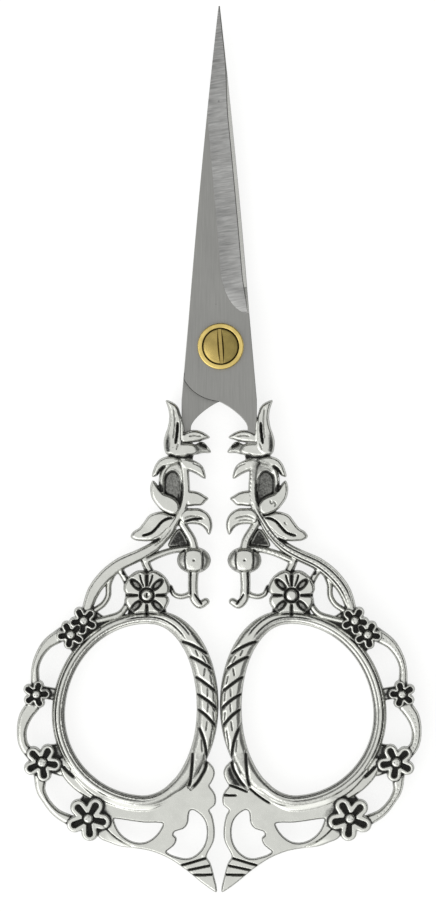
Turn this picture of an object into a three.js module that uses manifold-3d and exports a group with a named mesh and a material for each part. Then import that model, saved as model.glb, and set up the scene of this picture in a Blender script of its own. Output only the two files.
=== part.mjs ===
// Embroidery scissors with cast filigree handles, in millimetres.
//
// The scissors lie closed on a table. The origin is on the pivot axis in the plane of the table: X runs to
// the right, Y towards the points and Z up. Each half is a hollow-ground steel blade whose tang is cast into
// a white-metal handle. The rear half is the front half turned over about Y. A slotted brass screw in a cup
// washer and a barrel nut hold the halves together.

import * as THREE from 'three';
import { mergeVertices } from 'three/addons/utils/BufferGeometryUtils.js';
import Module from 'manifold-3d';

const wasm = await Module();
wasm.setup();

// Blade
const BLADE_LENGTH = 48; // pivot to point
const BLADE_THICKNESS = 1.4;
const BLADE_HALF_WIDTH = 4.6; // at the pivot
const BLADE_BELLY = 0.22; // bow of each side between pivot and point
const BLADE_GAP = 0.04; // between the inner faces of the two blades
const POINT_HALF_WIDTH = 0.1;
const EDGE_INSET = 0.08; // cutting edge behind the back of the other blade, at the heel of the edge
const EDGE_LAND = 0.1; // thickness of the cutting edge
const EDGE_HEEL = 4.65; // pivot to the heel of the edge
const HONE_WIDTH = 0.5; // honed bevel beside the cutting edge
const HONE_SHARE = 0.33; // most that the honed bevel takes of the ground width, near the point
const HONE_HEIGHT = 0.34; // thickness of the blade where the honed bevel begins
const GRIND_RUNOUT = 7.5; // length of the rounded end of the hollow grind
const GRIND_LINE_FOOT = 0.1; // grind line to mid line, where the rounded end begins
const GRIND_LINE_LEAN = 0.086; // how far the grind line leans to the back for each millimetre of blade
const GRIND_HOLLOW = 0.13; // depth of the hollow below a flat bevel
const HEEL_DROP = 4.6; // pivot to the rounded corner of the blade's back
const CROTCH_DROP = 7.8; // pivot to the arch between the two shanks
const SHOULDER_DROP = 7.5; // pivot to the outer shoulder, where the shank begins
const SHANK_DROP = 11.5; // pivot to the foot of the arch, where the tang begins
const TANG_LENGTH = 3.8; // below the shank, inside the casting
const TANG_WIDTH = 1.3;
const TANG_OFFSET = 4.65; // mid line of the scissors to the middle of the tang
const HEEL_FULLNESS = 0.72; // how square the rounded corner of the back is, as a share of the half width
const ARCH_SPREAD = 0.3; // how far the arch runs level, as a share of the way to the tang
const ARCH_TURN = 0.33; // length of the arch's turn into the tang, as a share of its height
const ARCH_START = 0.12; // slope of the arch at its top, as a share of its height
const CAST_CLEARANCE = 0.06; // between a blade and the casting around it

// Pivot
const PIVOT_SET_OVER = 0.2; // pivot to the plane on which the handles mirror
const BARREL_RADIUS = 1.6;
const BARREL_SHORT = 0.1; // barrel below the front blade's face, so that the washer can clamp
const RUNNING_CLEARANCE = 0.05; // barrel to blade, all round
const FLANGE_RADIUS = 3.25;
const FLANGE_THICKNESS = 0.76;
const FLANGE_CHAMFER = 0.15;
const NUT_FLOOR = 1.0; // solid end of the nut below its bore
const SCREW_RADIUS = 1.0;
const THREAD_CLEARANCE = 0.05;
const SCREW_END_GAP = 0.3; // screw end to the bottom of the bore
const SEAT_CLEARANCE = 0.02; // between seated faces
const WASHER_RADIUS = 3.25;
const WASHER_THICKNESS = 0.86;
const WASHER_FLOOR = 0.36; // part of the washer under the head
const WASHER_ROUND = 0.3;
const HEAD_RADIUS = 2.48;
const HEAD_CLEARANCE = 0.1; // head to washer, all round
const HEAD_EDGE = 0.52; // height of the head at its rim
const HEAD_CROWN = 0.2; // rise of the head in its middle
const SLOT_WIDTH = 0.75;
const SLOT_DEPTH = 0.42;
const SLOT_TURN = THREE.MathUtils.degToRad(94);

// Finger ring: an egg of four quarter ellipses
const CLOSING_GAP = 0.3; // between the two ropes when the scissors are shut
const RING_DROP = 51.9; // pivot to the middle of the ring
const HOLE_OUTER = 11.5; // the four half axes of the finger hole
const HOLE_INNER = 7.15;
const HOLE_TOP = 12.85;
const HOLE_BOTTOM = 11.45;
const HOLE_TILT = THREE.MathUtils.degToRad(3.5);
const RING_WIDTH = 1.6;
const RING_HALF_HEIGHT = 1.5;
const ROPE_WIDTH = 3.0;
const ROPE_HALF_HEIGHT = 1.75;
const ROPE_PITCH = 4.9; // one full turn of the two strands
const ROPE_CREASE = 0.3; // depth of the crease between the strands
const ROPE_START = 124; // degrees round the ring
const ROPE_END = 238;
const ROPE_OVERLAP = 6; // degrees that the plain band runs into the rope at each end
const ROPE_FULLNESS = 0.6; // how quickly the rope swells from its ends

// Flowers by their place round the ring, in degrees. stand is the gap from the ring's outer side to the
// petals.
const BIG_FLOWER = { angle: 87, stand: -0.8, radius: 3.35, petals: 4, turn: 45 };
const FLOWER_A = { angle: 51, stand: 0, radius: 2, petals: 5, turn: -10 };
const FLOWER_B = { angle: 41.5, stand: -0.15, radius: 2, petals: 5, turn: -8 };
const FLOWER_C = { angle: 7, stand: 0.7, radius: 1.95, petals: 5, turn: 33 };
const FLOWER_D = { angle: 332, stand: 0.35, radius: 2.65, petals: 5, turn: 45 };
const FLOWER_E = { angle: 296, stand: 0.55, radius: 3.1, petals: 5, turn: 48 };
const FLOWER_HALF_HEIGHT = 2.2; // half the greatest thickness of the handle
const BEAD_SHARE = 0.2; // radius of the bead in the middle, as a share of the flower's
const PETAL_HOLLOW = 0.6; // depth of the hollow in each petal, below the bead's top
const PETAL_RIM = 0.12; // depth of the petal's raised side, below the bead's top
const PETAL_LIP = 0.4; // depth of the petal's outer lip, below the bead's top
const PETAL_NOTCH = 0.26; // depth of the notch between petals, as a share of the flower's radius
const PETAL_MIDDLE = 0.55; // place of the hollow's deepest part, as a share of the flower's radius
const LINK_WIDTH = 1.3;
const LINK_HALF_HEIGHT = 0.9;

// Scrolls between flowers, with the bow of each
const BORDERS = [
  { from: FLOWER_B, to: FLOWER_C, bow: 2.4 },
  { from: FLOWER_C, to: FLOWER_D, bow: 2.5 },
  { from: FLOWER_D, to: FLOWER_E, bow: 3.5 },
];
const BORDER_TURNS = [0.3, 0.65]; // where a scroll is fully bowed, as shares of the way
const BORDER_WIDTH = 1.2;
const BORDER_HALF_HEIGHT = 1.25;
const SCROLL_WIDTH = 0.9;
const SCROLL_HALF_HEIGHT = 1.15;
const CURL_WIDTH = 0.7;
const CURL_HALF_HEIGHT = 0.8;
const BAR_CROWN = 0.55; // flat crown of a cast bar or leaf, as a share of its width

// Stem, from the knot round the end of the tang to the first flower. Its sway is a share of the straight
// line between them and the distance aside of that line.
const KNOT_SET_OUT = 0.55; // middle of the tang to the middle of the knot
const KNOT_LENGTH = 4.6;
const KNOT_WIDTH = 1.9;
const KNOT_HALF_HEIGHT = 1.9;
const STEM_START_WIDTH = 1.05;
const STEM_END_WIDTH = 1.8;
const STEM_HALF_HEIGHT = 1.5;
const STEM_SWAY = [
  [0.1, -2.2], [0.19, -3.7], [0.36, -4.1], [0.47, -3.6],
  [0.565, -1.9], [0.65, -0.4], [0.75, 0.6], [0.85, 0.9],
];

// Leaves, by place along the stem and the shift of the foot from there. The angle is that of the line from
// foot to tip, in degrees, the bow is how far the middle lies to the left of it, and the rise is half the
// thickness at the foot.
const TALL_LEAF = { at: 0, shift: [1, 0.3], angle: 81, length: 7.4, width: 2.7, bow: 0.5, rise: 1.95 };
const TANG_LEAF = { at: 0, shift: [-0.1, 2.4], angle: 178, length: 3.6, width: 1.6, bow: -0.25, rise: 1.75 };
const KNOT_LEAF = { at: 0, shift: [-0.8, 0.8], angle: 188, length: 3.2, width: 1.3, bow: 0.2, rise: 1.4 };
const INNER_CALYX = { at: 0.018, shift: [0.2, 0], angle: 216, length: 4.4, width: 1.6, bow: -0.6, rise: 1.7 };
const OUTER_CALYX = { at: 0.018, shift: [0.6, 0], angle: -32, length: 4.1, width: 1.5, bow: 0.65, rise: 1.6 };
const PLUMP_LEAF = { at: 0.27, shift: [0, 0], angle: 45, length: 5.4, width: 2.4, bow: -0.8, rise: 1.8 };
const LONG_LEAF = { at: 0.3, shift: [0, 0], angle: -23, length: 7.1, width: 3, bow: 0.3, rise: 1.7 };
const SHORT_LEAF = { at: 0.205, shift: [0, 0], angle: 180, length: 3.1, width: 1.9, bow: -0.1, rise: 1.5 };
const HANGING_LEAF = { at: 0.282, shift: [0, 0], angle: 217, length: 4.75, width: 2.2, bow: -0.9, rise: 1.7 };
const LEAF_FOOT = 0.14; // part of the leaf's outline that is hidden in the stem
const LEAF_FULLNESS = 0.75; // how blunt a leaf's outline is
const LEAF_FALL = 0.45; // loss of height from foot to tip, as a share
const LEAF_TIP = 0.3; // width of a leaf at its tip
const RECESS_BAR = [[0.5, -0.7], [2.3, -1.9], [2.95, -3.3]]; // outer side of the recess, from the knot
const RECESS_STEM = [0.26, 0.2, 0.1, 0.03]; // inner side of the recess, along the stem
const FLOOR_HALF_HEIGHT = 0.45; // half thickness of the thin floors of the recesses

// Drooping bell flower with its pistil and hooked foot
const BELL_AT = 0.318; // place along the stem that it hangs from
const BELL_SHIFT = [-2.2, -5.6];
const BELL_WIDTH = 4.5;
const BELL_HEIGHT = 3.8;
const BELL_HALF_DEPTH = 1.9;
const PISTIL_WIDTH = 1.3;
const PISTIL_HALF_HEIGHT = 1.2;
const PISTIL_LENGTH = 5.6;
const HOOK_REACH = 2.1;
const HOOK_DEPTH = 0.9;
const PISTIL_SET = 0.1; // foot of the pistil to the left of the bell's middle
const CURL_AT = 0.85; // place of the curl that ties the pistil to the big flower, along the pistil
const BELL_FLOOR_STEM = [0.47, 0.4]; // outer side of the recess over the bell, along the stem

// Where the branch, the strut and the scrolls leave the stem, and the bow of each
const BRANCH_AT = 0.54;
const BRANCH_BOW = 0.3;
const STRUT_AT = 0.563;
const OUTER_SCROLL_AT = 0.672;
const OUTER_SCROLL_TURNS = [[33, 1.06], [0, 0.88], [-35, 1.03]]; // round the big flower: degrees, radii
const OUTER_SCROLL_FOOT = [[70, 0.35], [60, 0.8]]; // degrees round the ring, and gap from it
const INNER_SCROLL_AT = 0.708;
const INNER_SCROLL_BOW = -1.25;
const PETIOLE_BOW = -0.4;
const CURL_BOW = -0.5;

// Pierced web under the ring. Places are measured from the mirror plane and down from the lowest point of
// the finger hole. Each curve lists its controls and then its end.
const WEB_HALF_HEIGHT = 0.95;
const WEB_ARC = [206, 330]; // degrees round the ring
const FLANGE_AT = 316; // degrees round the ring, where the flange beside the ring is widest
const FLANGE_WIDTH = 0.9;
const WEB_FOOT = [[15, 7.1], [11, 7.9], [7.9, 8.5]];
const WEB_SIDE = [[0.6, 6.6], [0.3, 3.6], [1.4, 1.85]];
const WEB_LOBES = [[[-0.3, 0.6], [1.3, -1.8]], [[0.1, -3.4], [1.2, -6]]];
const TAIL_TIP = [0.35, 13.4];
const TAIL_INNER = [1.8, 8.5]; // inner foot of the tail
const TAIL_WAIST = 0.6; // place of the hollow in the tail's sides, as a share of their length
const TAIL_OUTER_HOLLOW = -0.5;
const TAIL_INNER_BULGE = 0.4;
const HALF_MOON = [[9, 4.7], [10.2, 8], [14.5, 7], [14.6, 3.1], [11.8, 3], [9, 4.7]];
const SCALLOPED_SIDE = [[3.5, 2], [0.9, 4], [1.2, 7.8], [4.4, 8.7]];
const SCALLOPS = [[[6.2, 8.9], [7.4, 7.6]], [[5.4, 6.9], [6.2, 5]], [[4.2, 5.1], [4, 2]]];

const CAST_SILVER = { color: 0xb4b5af, roughness: 0.3, metalness: 1 };
const STEEL = { color: 0x969692, roughness: 0.38, metalness: 1 };
const BRASS = { color: 0xc0a552, roughness: 0.3, metalness: 1 };

const FULL_TURN = 360; // degrees

// Facets
const ROUND_STEPS = 24;
const ROPE_SIDES = 6;
const PETAL_STEPS = 4;
const CURVE_STEPS = 4;
const FACET_LENGTH = 1.6; // along a cast bar
const FINE_FACET_LENGTH = 1.1; // along a small or tightly curled bar
const LEAF_STATIONS = 5;
const RING_STEP = 10; // degrees round the ring

// Heights above the table
const REAR_FACE = FLANGE_THICKNESS + SEAT_CLEARANCE;
const MID_HEIGHT = REAR_FACE + BLADE_THICKNESS + BLADE_GAP / 2;
const FRONT_FACE = MID_HEIGHT + BLADE_GAP / 2 + BLADE_THICKNESS;
const WASHER_BASE = FRONT_FACE + SEAT_CLEARANCE;
const HEAD_BASE = WASHER_BASE + WASHER_FLOOR + SEAT_CLEARANCE;

// Solids

function toSolid(geometry) {
  const bare = geometry.clone();
  bare.deleteAttribute('normal');
  bare.deleteAttribute('uv');
  const merged = mergeVertices(bare);
  return new wasm.Manifold(new wasm.Mesh({
    numProp: 3,
    vertProperties: merged.attributes.position.array,
    triVerts: Uint32Array.from(merged.index.array),
  }));
}

function toGeometry(solid) {
  const mesh = solid.getMesh();
  const geometry = new THREE.BufferGeometry();
  geometry.setAttribute('position', new THREE.BufferAttribute(mesh.vertProperties, 3));
  geometry.setIndex(new THREE.BufferAttribute(mesh.triVerts, 1));
  geometry.computeVertexNormals();
  return geometry;
}

// A closed skin over rings of points, each anticlockwise as seen from the last ring. Each four-sided facet is
// split along its shorter diagonal.
function loft(rings) {
  const count = rings[0].length;
  const points = rings.flat();
  const index = [];
  for (let i = 0; i < rings.length - 1; i += 1) {
    for (let j = 0; j < count; j += 1) {
      const k = (j + 1) % count;
      const [a, b] = [i * count + j, i * count + k];
      const [c, d] = [b + count, a + count];
      if (points[a].distanceTo(points[c]) < points[b].distanceTo(points[d])) {
        index.push(a, b, c, a, c, d);
      } else {
        index.push(a, b, d, b, c, d);
      }
    }
  }
  const last = points.length - count;
  [rings[0], rings[rings.length - 1]].forEach((ring) => {
    const sum = ring.reduce((total, point) => total.add(point), new THREE.Vector3());
    points.push(sum.divideScalar(count));
  });
  for (let j = 0; j < count; j += 1) {
    const k = (j + 1) % count;
    index.push(points.length - 2, k, j);
    index.push(points.length - 1, last + j, last + k);
  }
  const geometry = new THREE.BufferGeometry();
  geometry.setFromPoints(points);
  geometry.setIndex(index);
  return geometry;
}

// A solid along a flat path. section(share) gives [aside, up] pairs, anticlockwise as seen from the far end.
function sweep(path, stations, section) {
  const rings = [];
  for (let i = 0; i <= stations; i += 1) {
    const share = i / stations;
    const point = path.getPointAt(share);
    const ahead = path.getTangentAt(share);
    const place = ([aside, up]) => (
      new THREE.Vector3(point.x - ahead.y * aside, point.y + ahead.x * aside, up));
    rings.push(section(share).map(place));
  }
  return loft(rings);
}

// Six-sided section with a flat crown of a given share of its width
function roundedSection(width, halfHeight, crownShare) {
  const half = width / 2;
  const crown = half * crownShare;
  return [
    [half, 0], [crown, halfHeight], [-crown, halfHeight],
    [-half, 0], [-crown, -halfHeight], [crown, -halfHeight],
  ];
}

function curveThrough(points) {
  return new THREE.CatmullRomCurve3(points.map((point) => new THREE.Vector3(point.x, point.y, 0)));
}

// A rounded bar through points, from one width to another
function bar(points, startWidth, endWidth, halfHeight, facet = FACET_LENGTH) {
  const path = curveThrough(points);
  const widthAt = (share) => startWidth + (endWidth - startWidth) * share;
  const section = (share) => roundedSection(widthAt(share), halfHeight, BAR_CROWN);
  return sweep(path, Math.ceil(path.getLength() / facet), section);
}

function plate(shape, halfHeight) {
  const geometry = new THREE.ExtrudeGeometry(shape, {
    depth: 2 * halfHeight, bevelEnabled: false, curveSegments: CURVE_STEPS,
  });
  return geometry.translate(0, 0, -halfHeight);
}

// Places in the plane of the handles

function polar(centre, radius, degrees) {
  const turn = THREE.MathUtils.degToRad(degrees);
  return new THREE.Vector2(centre.x + radius * Math.cos(turn), centre.y + radius * Math.sin(turn));
}

function shifted(point, [right, up]) {
  return new THREE.Vector2(point.x + right, point.y + up);
}

// A point beside the straight line from a to b: a share of the way, and millimetres to the left of it
function beside(a, b, share, aside) {
  const line = b.clone().sub(a);
  const left = new THREE.Vector2(-line.y, line.x).normalize();
  return a.clone().addScaledVector(line, share).addScaledVector(left, aside);
}

// Blade, about the mirror plane, with the edge on the right and the flat inner face at half the gap

function bladeHalfWidth(y) {
  const share = y / BLADE_LENGTH;
  const bow = share > 0 ? BLADE_BELLY * 4 * share * (1 - share) : 0;
  return BLADE_HALF_WIDTH + (POINT_HALF_WIDTH - BLADE_HALF_WIDTH) * share + bow;
}

function edgeHalfWidth(y) {
  return bladeHalfWidth(y) - EDGE_INSET * (1 - y / BLADE_LENGTH);
}

function bladePlan() {
  const shape = new THREE.Shape();
  const sideSteps = 2 * CURVE_STEPS;
  shape.moveTo(bladeHalfWidth(EDGE_HEEL - EDGE_INSET), EDGE_HEEL - EDGE_INSET);
  for (let i = 0; i <= sideSteps; i += 1) {
    const y = EDGE_HEEL + ((BLADE_LENGTH - EDGE_HEEL) * i) / sideSteps;
    shape.lineTo(edgeHalfWidth(y), y);
  }
  for (let i = sideSteps; i >= 0; i -= 1) {
    const y = -HEEL_DROP + ((BLADE_LENGTH + HEEL_DROP) * i) / sideSteps;
    shape.lineTo(-bladeHalfWidth(y), y);
  }
  const heel = bladeHalfWidth(-HEEL_DROP);
  const arch = SHANK_DROP - CROTCH_DROP;
  const inner = TANG_OFFSET - TANG_WIDTH / 2;
  const outer = TANG_OFFSET + TANG_WIDTH / 2;
  const end = SHANK_DROP + TANG_LENGTH;
  const shoulder = bladeHalfWidth(-SHOULDER_DROP);
  const slope = ARCH_START * arch;
  const turn = -SHANK_DROP + ARCH_TURN * arch;
  shape.quadraticCurveTo(-HEEL_FULLNESS * heel, -CROTCH_DROP + slope, 0, -CROTCH_DROP);
  shape.bezierCurveTo(ARCH_SPREAD * inner, -CROTCH_DROP - slope, inner, turn, inner, -SHANK_DROP);
  shape.lineTo(inner, -end);
  shape.lineTo(outer, -end);
  shape.lineTo(outer, -SHANK_DROP);
  shape.quadraticCurveTo(shoulder, turn, shoulder, -SHOULDER_DROP);
  return shape;
}

// The space that the grinding wheel takes from the outer face. It runs out in a rounded end at the heel.
function grindingCut() {
  const top = BLADE_THICKNESS;
  const clear = BLADE_THICKNESS;
  const heelX = edgeHalfWidth(EDGE_HEEL);
  const lineFoot = EDGE_HEEL + GRIND_RUNOUT;
  const stations = [];
  const steps = 2 * CURVE_STEPS;
  for (let i = 0; i <= steps; i += 1) {
    const turn = (i / steps) * (Math.PI / 2);
    const ridge = heelX + (GRIND_LINE_FOOT - heelX) * Math.sin(turn);
    stations.push([ridge, lineFoot - GRIND_RUNOUT * Math.cos(turn)]);
  }
  for (let i = 1; i <= steps; i += 1) {
    const run = ((BLADE_LENGTH + clear - lineFoot) * i) / steps;
    stations.push([GRIND_LINE_FOOT - GRIND_LINE_LEAN * run, lineFoot + run]);
  }
  return loft(stations.map(([ridge, y]) => {
    const edge = Math.max(edgeHalfWidth(y), POINT_HALF_WIDTH);
    const inner = edge - Math.min(HONE_WIDTH, HONE_SHARE * (edge - ridge));
    const hollow = [];
    for (let i = CURVE_STEPS; i >= 0; i -= 1) {
      const share = i / CURVE_STEPS;
      const flat = top + (HONE_HEIGHT - top) * share;
      hollow.push([ridge + (inner - ridge) * share, flat - GRIND_HOLLOW * 4 * share * (1 - share)]);
    }
    const section = [
      [edge + clear, EDGE_LAND], [edge, EDGE_LAND], ...hollow,
      [ridge, top + clear], [edge + clear, top + clear],
    ];
    return section.map(([x, z]) => new THREE.Vector3(x, y, z));
  }));
}

function bladeGeometry(pivotX) {
  const shape = bladePlan();
  const hole = new THREE.Path();
  hole.absarc(pivotX, 0, BARREL_RADIUS + RUNNING_CLEARANCE, 0, 2 * Math.PI, true);
  shape.holes.push(hole);
  const blank = new THREE.ExtrudeGeometry(shape, {
    depth: BLADE_THICKNESS, bevelEnabled: false, curveSegments: ROUND_STEPS / 2,
  });
  const ground = toSolid(blank).subtract(toSolid(grindingCut()));
  return toGeometry(ground).translate(0, 0, BLADE_GAP / 2);
}

// The blade grown by the clearance on every side, for the pocket in the casting
function bladePocket() {
  const geometry = new THREE.ExtrudeGeometry(bladePlan(), {
    depth: BLADE_THICKNESS,
    bevelSize: CAST_CLEARANCE,
    bevelThickness: CAST_CLEARANCE,
    bevelSegments: 1,
    curveSegments: ROUND_STEPS / 2,
  });
  return geometry.translate(0, 0, BLADE_GAP / 2);
}

// Finger ring

const RING_CENTRE = new THREE.Vector2(CLOSING_GAP / 2 + ROPE_WIDTH + HOLE_INNER, -RING_DROP);

// A place near the ring: degrees round it, and millimetres out from the edge of the hole
function fromRing(degrees, out) {
  const turn = THREE.MathUtils.degToRad(degrees);
  const wide = Math.cos(turn) > 0 ? HOLE_OUTER : HOLE_INNER;
  const high = Math.sin(turn) > 0 ? HOLE_TOP : HOLE_BOTTOM;
  const point = new THREE.Vector2(wide * Math.cos(turn), high * Math.sin(turn));
  const outward = new THREE.Vector2(high * Math.cos(turn), wide * Math.sin(turn)).normalize();
  return point.addScaledVector(outward, out).rotateAround(new THREE.Vector2(), HOLE_TILT).add(RING_CENTRE);
}

// Points round the ring. outAt gives the distance from the hole's edge for a share of the way.
function ringArc(from, to, outAt) {
  const steps = Math.round(Math.abs(to - from) / RING_STEP);
  return Array.from({ length: steps + 1 }, (_, i) => {
    const share = i / steps;
    return fromRing(from + (to - from) * share, outAt(share));
  });
}

function ringBand() {
  const from = ROPE_END - ROPE_OVERLAP;
  const to = ROPE_START + ROPE_OVERLAP + FULL_TURN;
  return bar(ringArc(from, to, () => RING_WIDTH / 2), RING_WIDTH, RING_WIDTH, RING_HALF_HEIGHT);
}

// Two strands laid together: the section turns as it goes, and swells towards the middle.
function rope() {
  const swell = (share) => Math.sin(Math.PI * share) ** ROPE_FULLNESS;
  const widthAt = (share) => RING_WIDTH + (ROPE_WIDTH - RING_WIDTH) * swell(share);
  const path = curveThrough(ringArc(ROPE_START, ROPE_END, (share) => widthAt(share) / 2));
  const stations = Math.round((path.getLength() / ROPE_PITCH) * ROPE_SIDES);
  return sweep(path, stations, (share) => Array.from({ length: ROPE_SIDES }, (_, k) => {
    const turn = ((k + share * stations) / ROPE_SIDES) * 2 * Math.PI;
    const crease = k % (ROPE_SIDES / 2) === 0 ? ROPE_CREASE * swell(share) : 0;
    const halfHeight = RING_HALF_HEIGHT + (ROPE_HALF_HEIGHT - RING_HALF_HEIGHT) * swell(share);
    return [(widthAt(share) / 2 - crease) * Math.cos(turn), (halfHeight - crease) * Math.sin(turn)];
  }));
}

// Flowers and the scrolls between them

function flowerCentre(flower) {
  return fromRing(flower.angle, RING_WIDTH + flower.radius + flower.stand);
}

// Both faces alike: a bead, hollow petals with raised sides, and an outline notched between the petals
function flowerSolid(flower) {
  const centre = flowerCentre(flower);
  const steps = flower.petals * PETAL_STEPS;
  const ring = (radiusAt, depthAt, face) => Array.from({ length: steps }, (_, k) => {
    const offCentre = Math.abs((k % PETAL_STEPS) - PETAL_STEPS / 2) / (PETAL_STEPS / 2);
    const angle = flower.turn + ((k - PETAL_STEPS / 2) * FULL_TURN) / steps;
    const point = polar(centre, flower.radius * radiusAt(offCentre), angle);
    return new THREE.Vector3(point.x, point.y, face * (FLOWER_HALF_HEIGHT - depthAt(offCentre)));
  });
  const outline = (offCentre) => 1 - PETAL_NOTCH * offCentre ** 2;
  const hollow = (offCentre) => (offCentre === 0.5 ? PETAL_RIM : PETAL_HOLLOW);
  const levels = [
    [() => BEAD_SHARE, () => 0],
    [(offCentre) => PETAL_MIDDLE * outline(offCentre), hollow],
    [outline, () => PETAL_LIP],
  ];
  const below = levels.map(([radiusAt, depthAt]) => ring(radiusAt, depthAt, -1));
  const above = levels.map(([radiusAt, depthAt]) => ring(radiusAt, depthAt, 1));
  return loft([...below, ...above.reverse()]);
}

function flowerLink(flower) {
  const ends = [fromRing(flower.angle, RING_WIDTH / 2), flowerCentre(flower)];
  return bar(ends, LINK_WIDTH, LINK_WIDTH, LINK_HALF_HEIGHT);
}

function borderScroll({ from, to, bow }) {
  const a = flowerCentre(from);
  const b = flowerCentre(to);
  const points = [a, beside(a, b, BORDER_TURNS[0], bow), beside(a, b, BORDER_TURNS[1], bow), b];
  return bar(points, BORDER_WIDTH, BORDER_WIDTH, BORDER_HALF_HEIGHT);
}

// Stem, leaves and bell flower

const KNOT = new THREE.Vector2(TANG_OFFSET + KNOT_SET_OUT, -SHANK_DROP - TANG_LENGTH);
const FIRST_FLOWER = flowerCentre(FLOWER_A);
const BIG_CENTRE = flowerCentre(BIG_FLOWER);
const STEM_POINTS = [
  KNOT, ...STEM_SWAY.map(([share, aside]) => beside(KNOT, FIRST_FLOWER, share, aside)), FIRST_FLOWER,
];
const STEM_LINE = curveThrough(STEM_POINTS);

function onStem(share) {
  const point = STEM_LINE.getPointAt(share);
  return new THREE.Vector2(point.x, point.y);
}

function knotSolid() {
  const ball = new THREE.SphereGeometry(1, 2 * CURVE_STEPS, CURVE_STEPS + 2);
  ball.scale(KNOT_LENGTH / 2, KNOT_WIDTH / 2, KNOT_HALF_HEIGHT);
  return ball.translate(KNOT.x, KNOT.y, 0);
}

function leafLine(leaf) {
  const foot = shifted(onStem(leaf.at), leaf.shift);
  const tip = polar(foot, leaf.length, leaf.angle);
  return [foot, beside(foot, tip, 0.5, leaf.bow), tip];
}

function leafSolid(leaf) {
  return sweep(curveThrough(leafLine(leaf)), LEAF_STATIONS, (share) => {
    const swell = Math.sin(Math.PI * (LEAF_FOOT + (1 - LEAF_FOOT) * share)) ** LEAF_FULLNESS;
    const width = Math.max(leaf.width * swell, LEAF_TIP);
    return roundedSection(width, leaf.rise * (1 - LEAF_FALL * share), BAR_CROWN);
  });
}

function leafRecess() {
  const barPoints = RECESS_BAR.map((shift) => shifted(KNOT, shift));
  const meeting = leafLine(PLUMP_LEAF)[1];
  const floor = [...barPoints, meeting, ...RECESS_STEM.map(onStem)];
  return [
    bar([...barPoints, meeting], SCROLL_WIDTH, SCROLL_WIDTH, SCROLL_HALF_HEIGHT),
    plate(new THREE.Shape(floor), FLOOR_HALF_HEIGHT),
  ];
}

function bellFlower() {
  const top = onStem(BELL_AT);
  const bell = shifted(top, BELL_SHIFT);
  const cup = new THREE.SphereGeometry(1, 2 * CURVE_STEPS + 2, CURVE_STEPS + 2);
  cup.scale(BELL_WIDTH / 2, BELL_HEIGHT / 2, BELL_HALF_DEPTH).translate(bell.x, bell.y, 0);
  const foot = shifted(bell, [-PISTIL_SET, -PISTIL_LENGTH]);
  const pistil = [
    bell, foot, shifted(foot, [-HOOK_REACH / 2, -HOOK_DEPTH]), shifted(foot, [-HOOK_REACH, HOOK_DEPTH / 2]),
  ];
  const petioleMiddle = beside(top, bell, 0.5, PETIOLE_BOW);
  const branchStart = shifted(bell, [PISTIL_WIDTH / 2, (BELL_HEIGHT - SCROLL_WIDTH) / 2]);
  const branchEnd = onStem(BRANCH_AT);
  const branchMiddle = beside(branchStart, branchEnd, 0.5, BRANCH_BOW);
  const curlStart = beside(bell, foot, CURL_AT, 0);
  const curlMiddle = beside(curlStart, BIG_CENTRE, 0.3, CURL_BOW);
  const floor = [top, petioleMiddle, branchStart, branchMiddle, ...BELL_FLOOR_STEM.map(onStem)];
  return [
    cup,
    bar(pistil, PISTIL_WIDTH, SCROLL_WIDTH, PISTIL_HALF_HEIGHT, FINE_FACET_LENGTH),
    bar([top, petioleMiddle, bell], PISTIL_WIDTH, PISTIL_WIDTH, PISTIL_HALF_HEIGHT),
    bar([branchStart, branchMiddle, branchEnd], SCROLL_WIDTH, SCROLL_WIDTH, SCROLL_HALF_HEIGHT),
    bar([curlStart, curlMiddle, BIG_CENTRE], CURL_WIDTH, CURL_WIDTH, CURL_HALF_HEIGHT, FINE_FACET_LENGTH),
    plate(new THREE.Shape(floor), FLOOR_HALF_HEIGHT),
  ];
}

// Scrolls between the stem, the big flower and the ring
function innerScrolls() {
  const outer = [
    onStem(OUTER_SCROLL_AT),
    ...OUTER_SCROLL_TURNS.map(([angle, share]) => polar(BIG_CENTRE, share * BIG_FLOWER.radius, angle)),
    ...OUTER_SCROLL_FOOT.map(([angle, gap]) => fromRing(angle, RING_WIDTH + gap)),
    FIRST_FLOWER,
  ];
  const top = onStem(INNER_SCROLL_AT);
  const inner = [top, beside(top, FIRST_FLOWER, 0.5, INNER_SCROLL_BOW), FIRST_FLOWER];
  const strut = [onStem(STRUT_AT), BIG_CENTRE];
  return [outer, inner, strut].map((line) => bar(line, SCROLL_WIDTH, SCROLL_WIDTH, SCROLL_HALF_HEIGHT));
}

// Web

function low([x, drop]) {
  return new THREE.Vector2(x, RING_CENTRE.y - HOLE_BOTTOM - drop);
}

// The numbers that a curve's method takes, from a list of places
function lowNumbers(places) {
  return places.flatMap((place) => low(place).toArray());
}

function halfMoon() {
  const hole = new THREE.Path();
  hole.moveTo(...low(HALF_MOON[0]));
  hole.bezierCurveTo(...lowNumbers(HALF_MOON.slice(1, 4)));
  hole.quadraticCurveTo(...lowNumbers(HALF_MOON.slice(4)));
  return hole;
}

function scallopedHole() {
  const hole = new THREE.Path();
  hole.moveTo(...low(SCALLOPED_SIDE[0]));
  hole.bezierCurveTo(...lowNumbers(SCALLOPED_SIDE.slice(1)));
  SCALLOPS.forEach((scallop) => hole.quadraticCurveTo(...lowNumbers(scallop)));
  hole.closePath();
  return hole;
}

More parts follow.
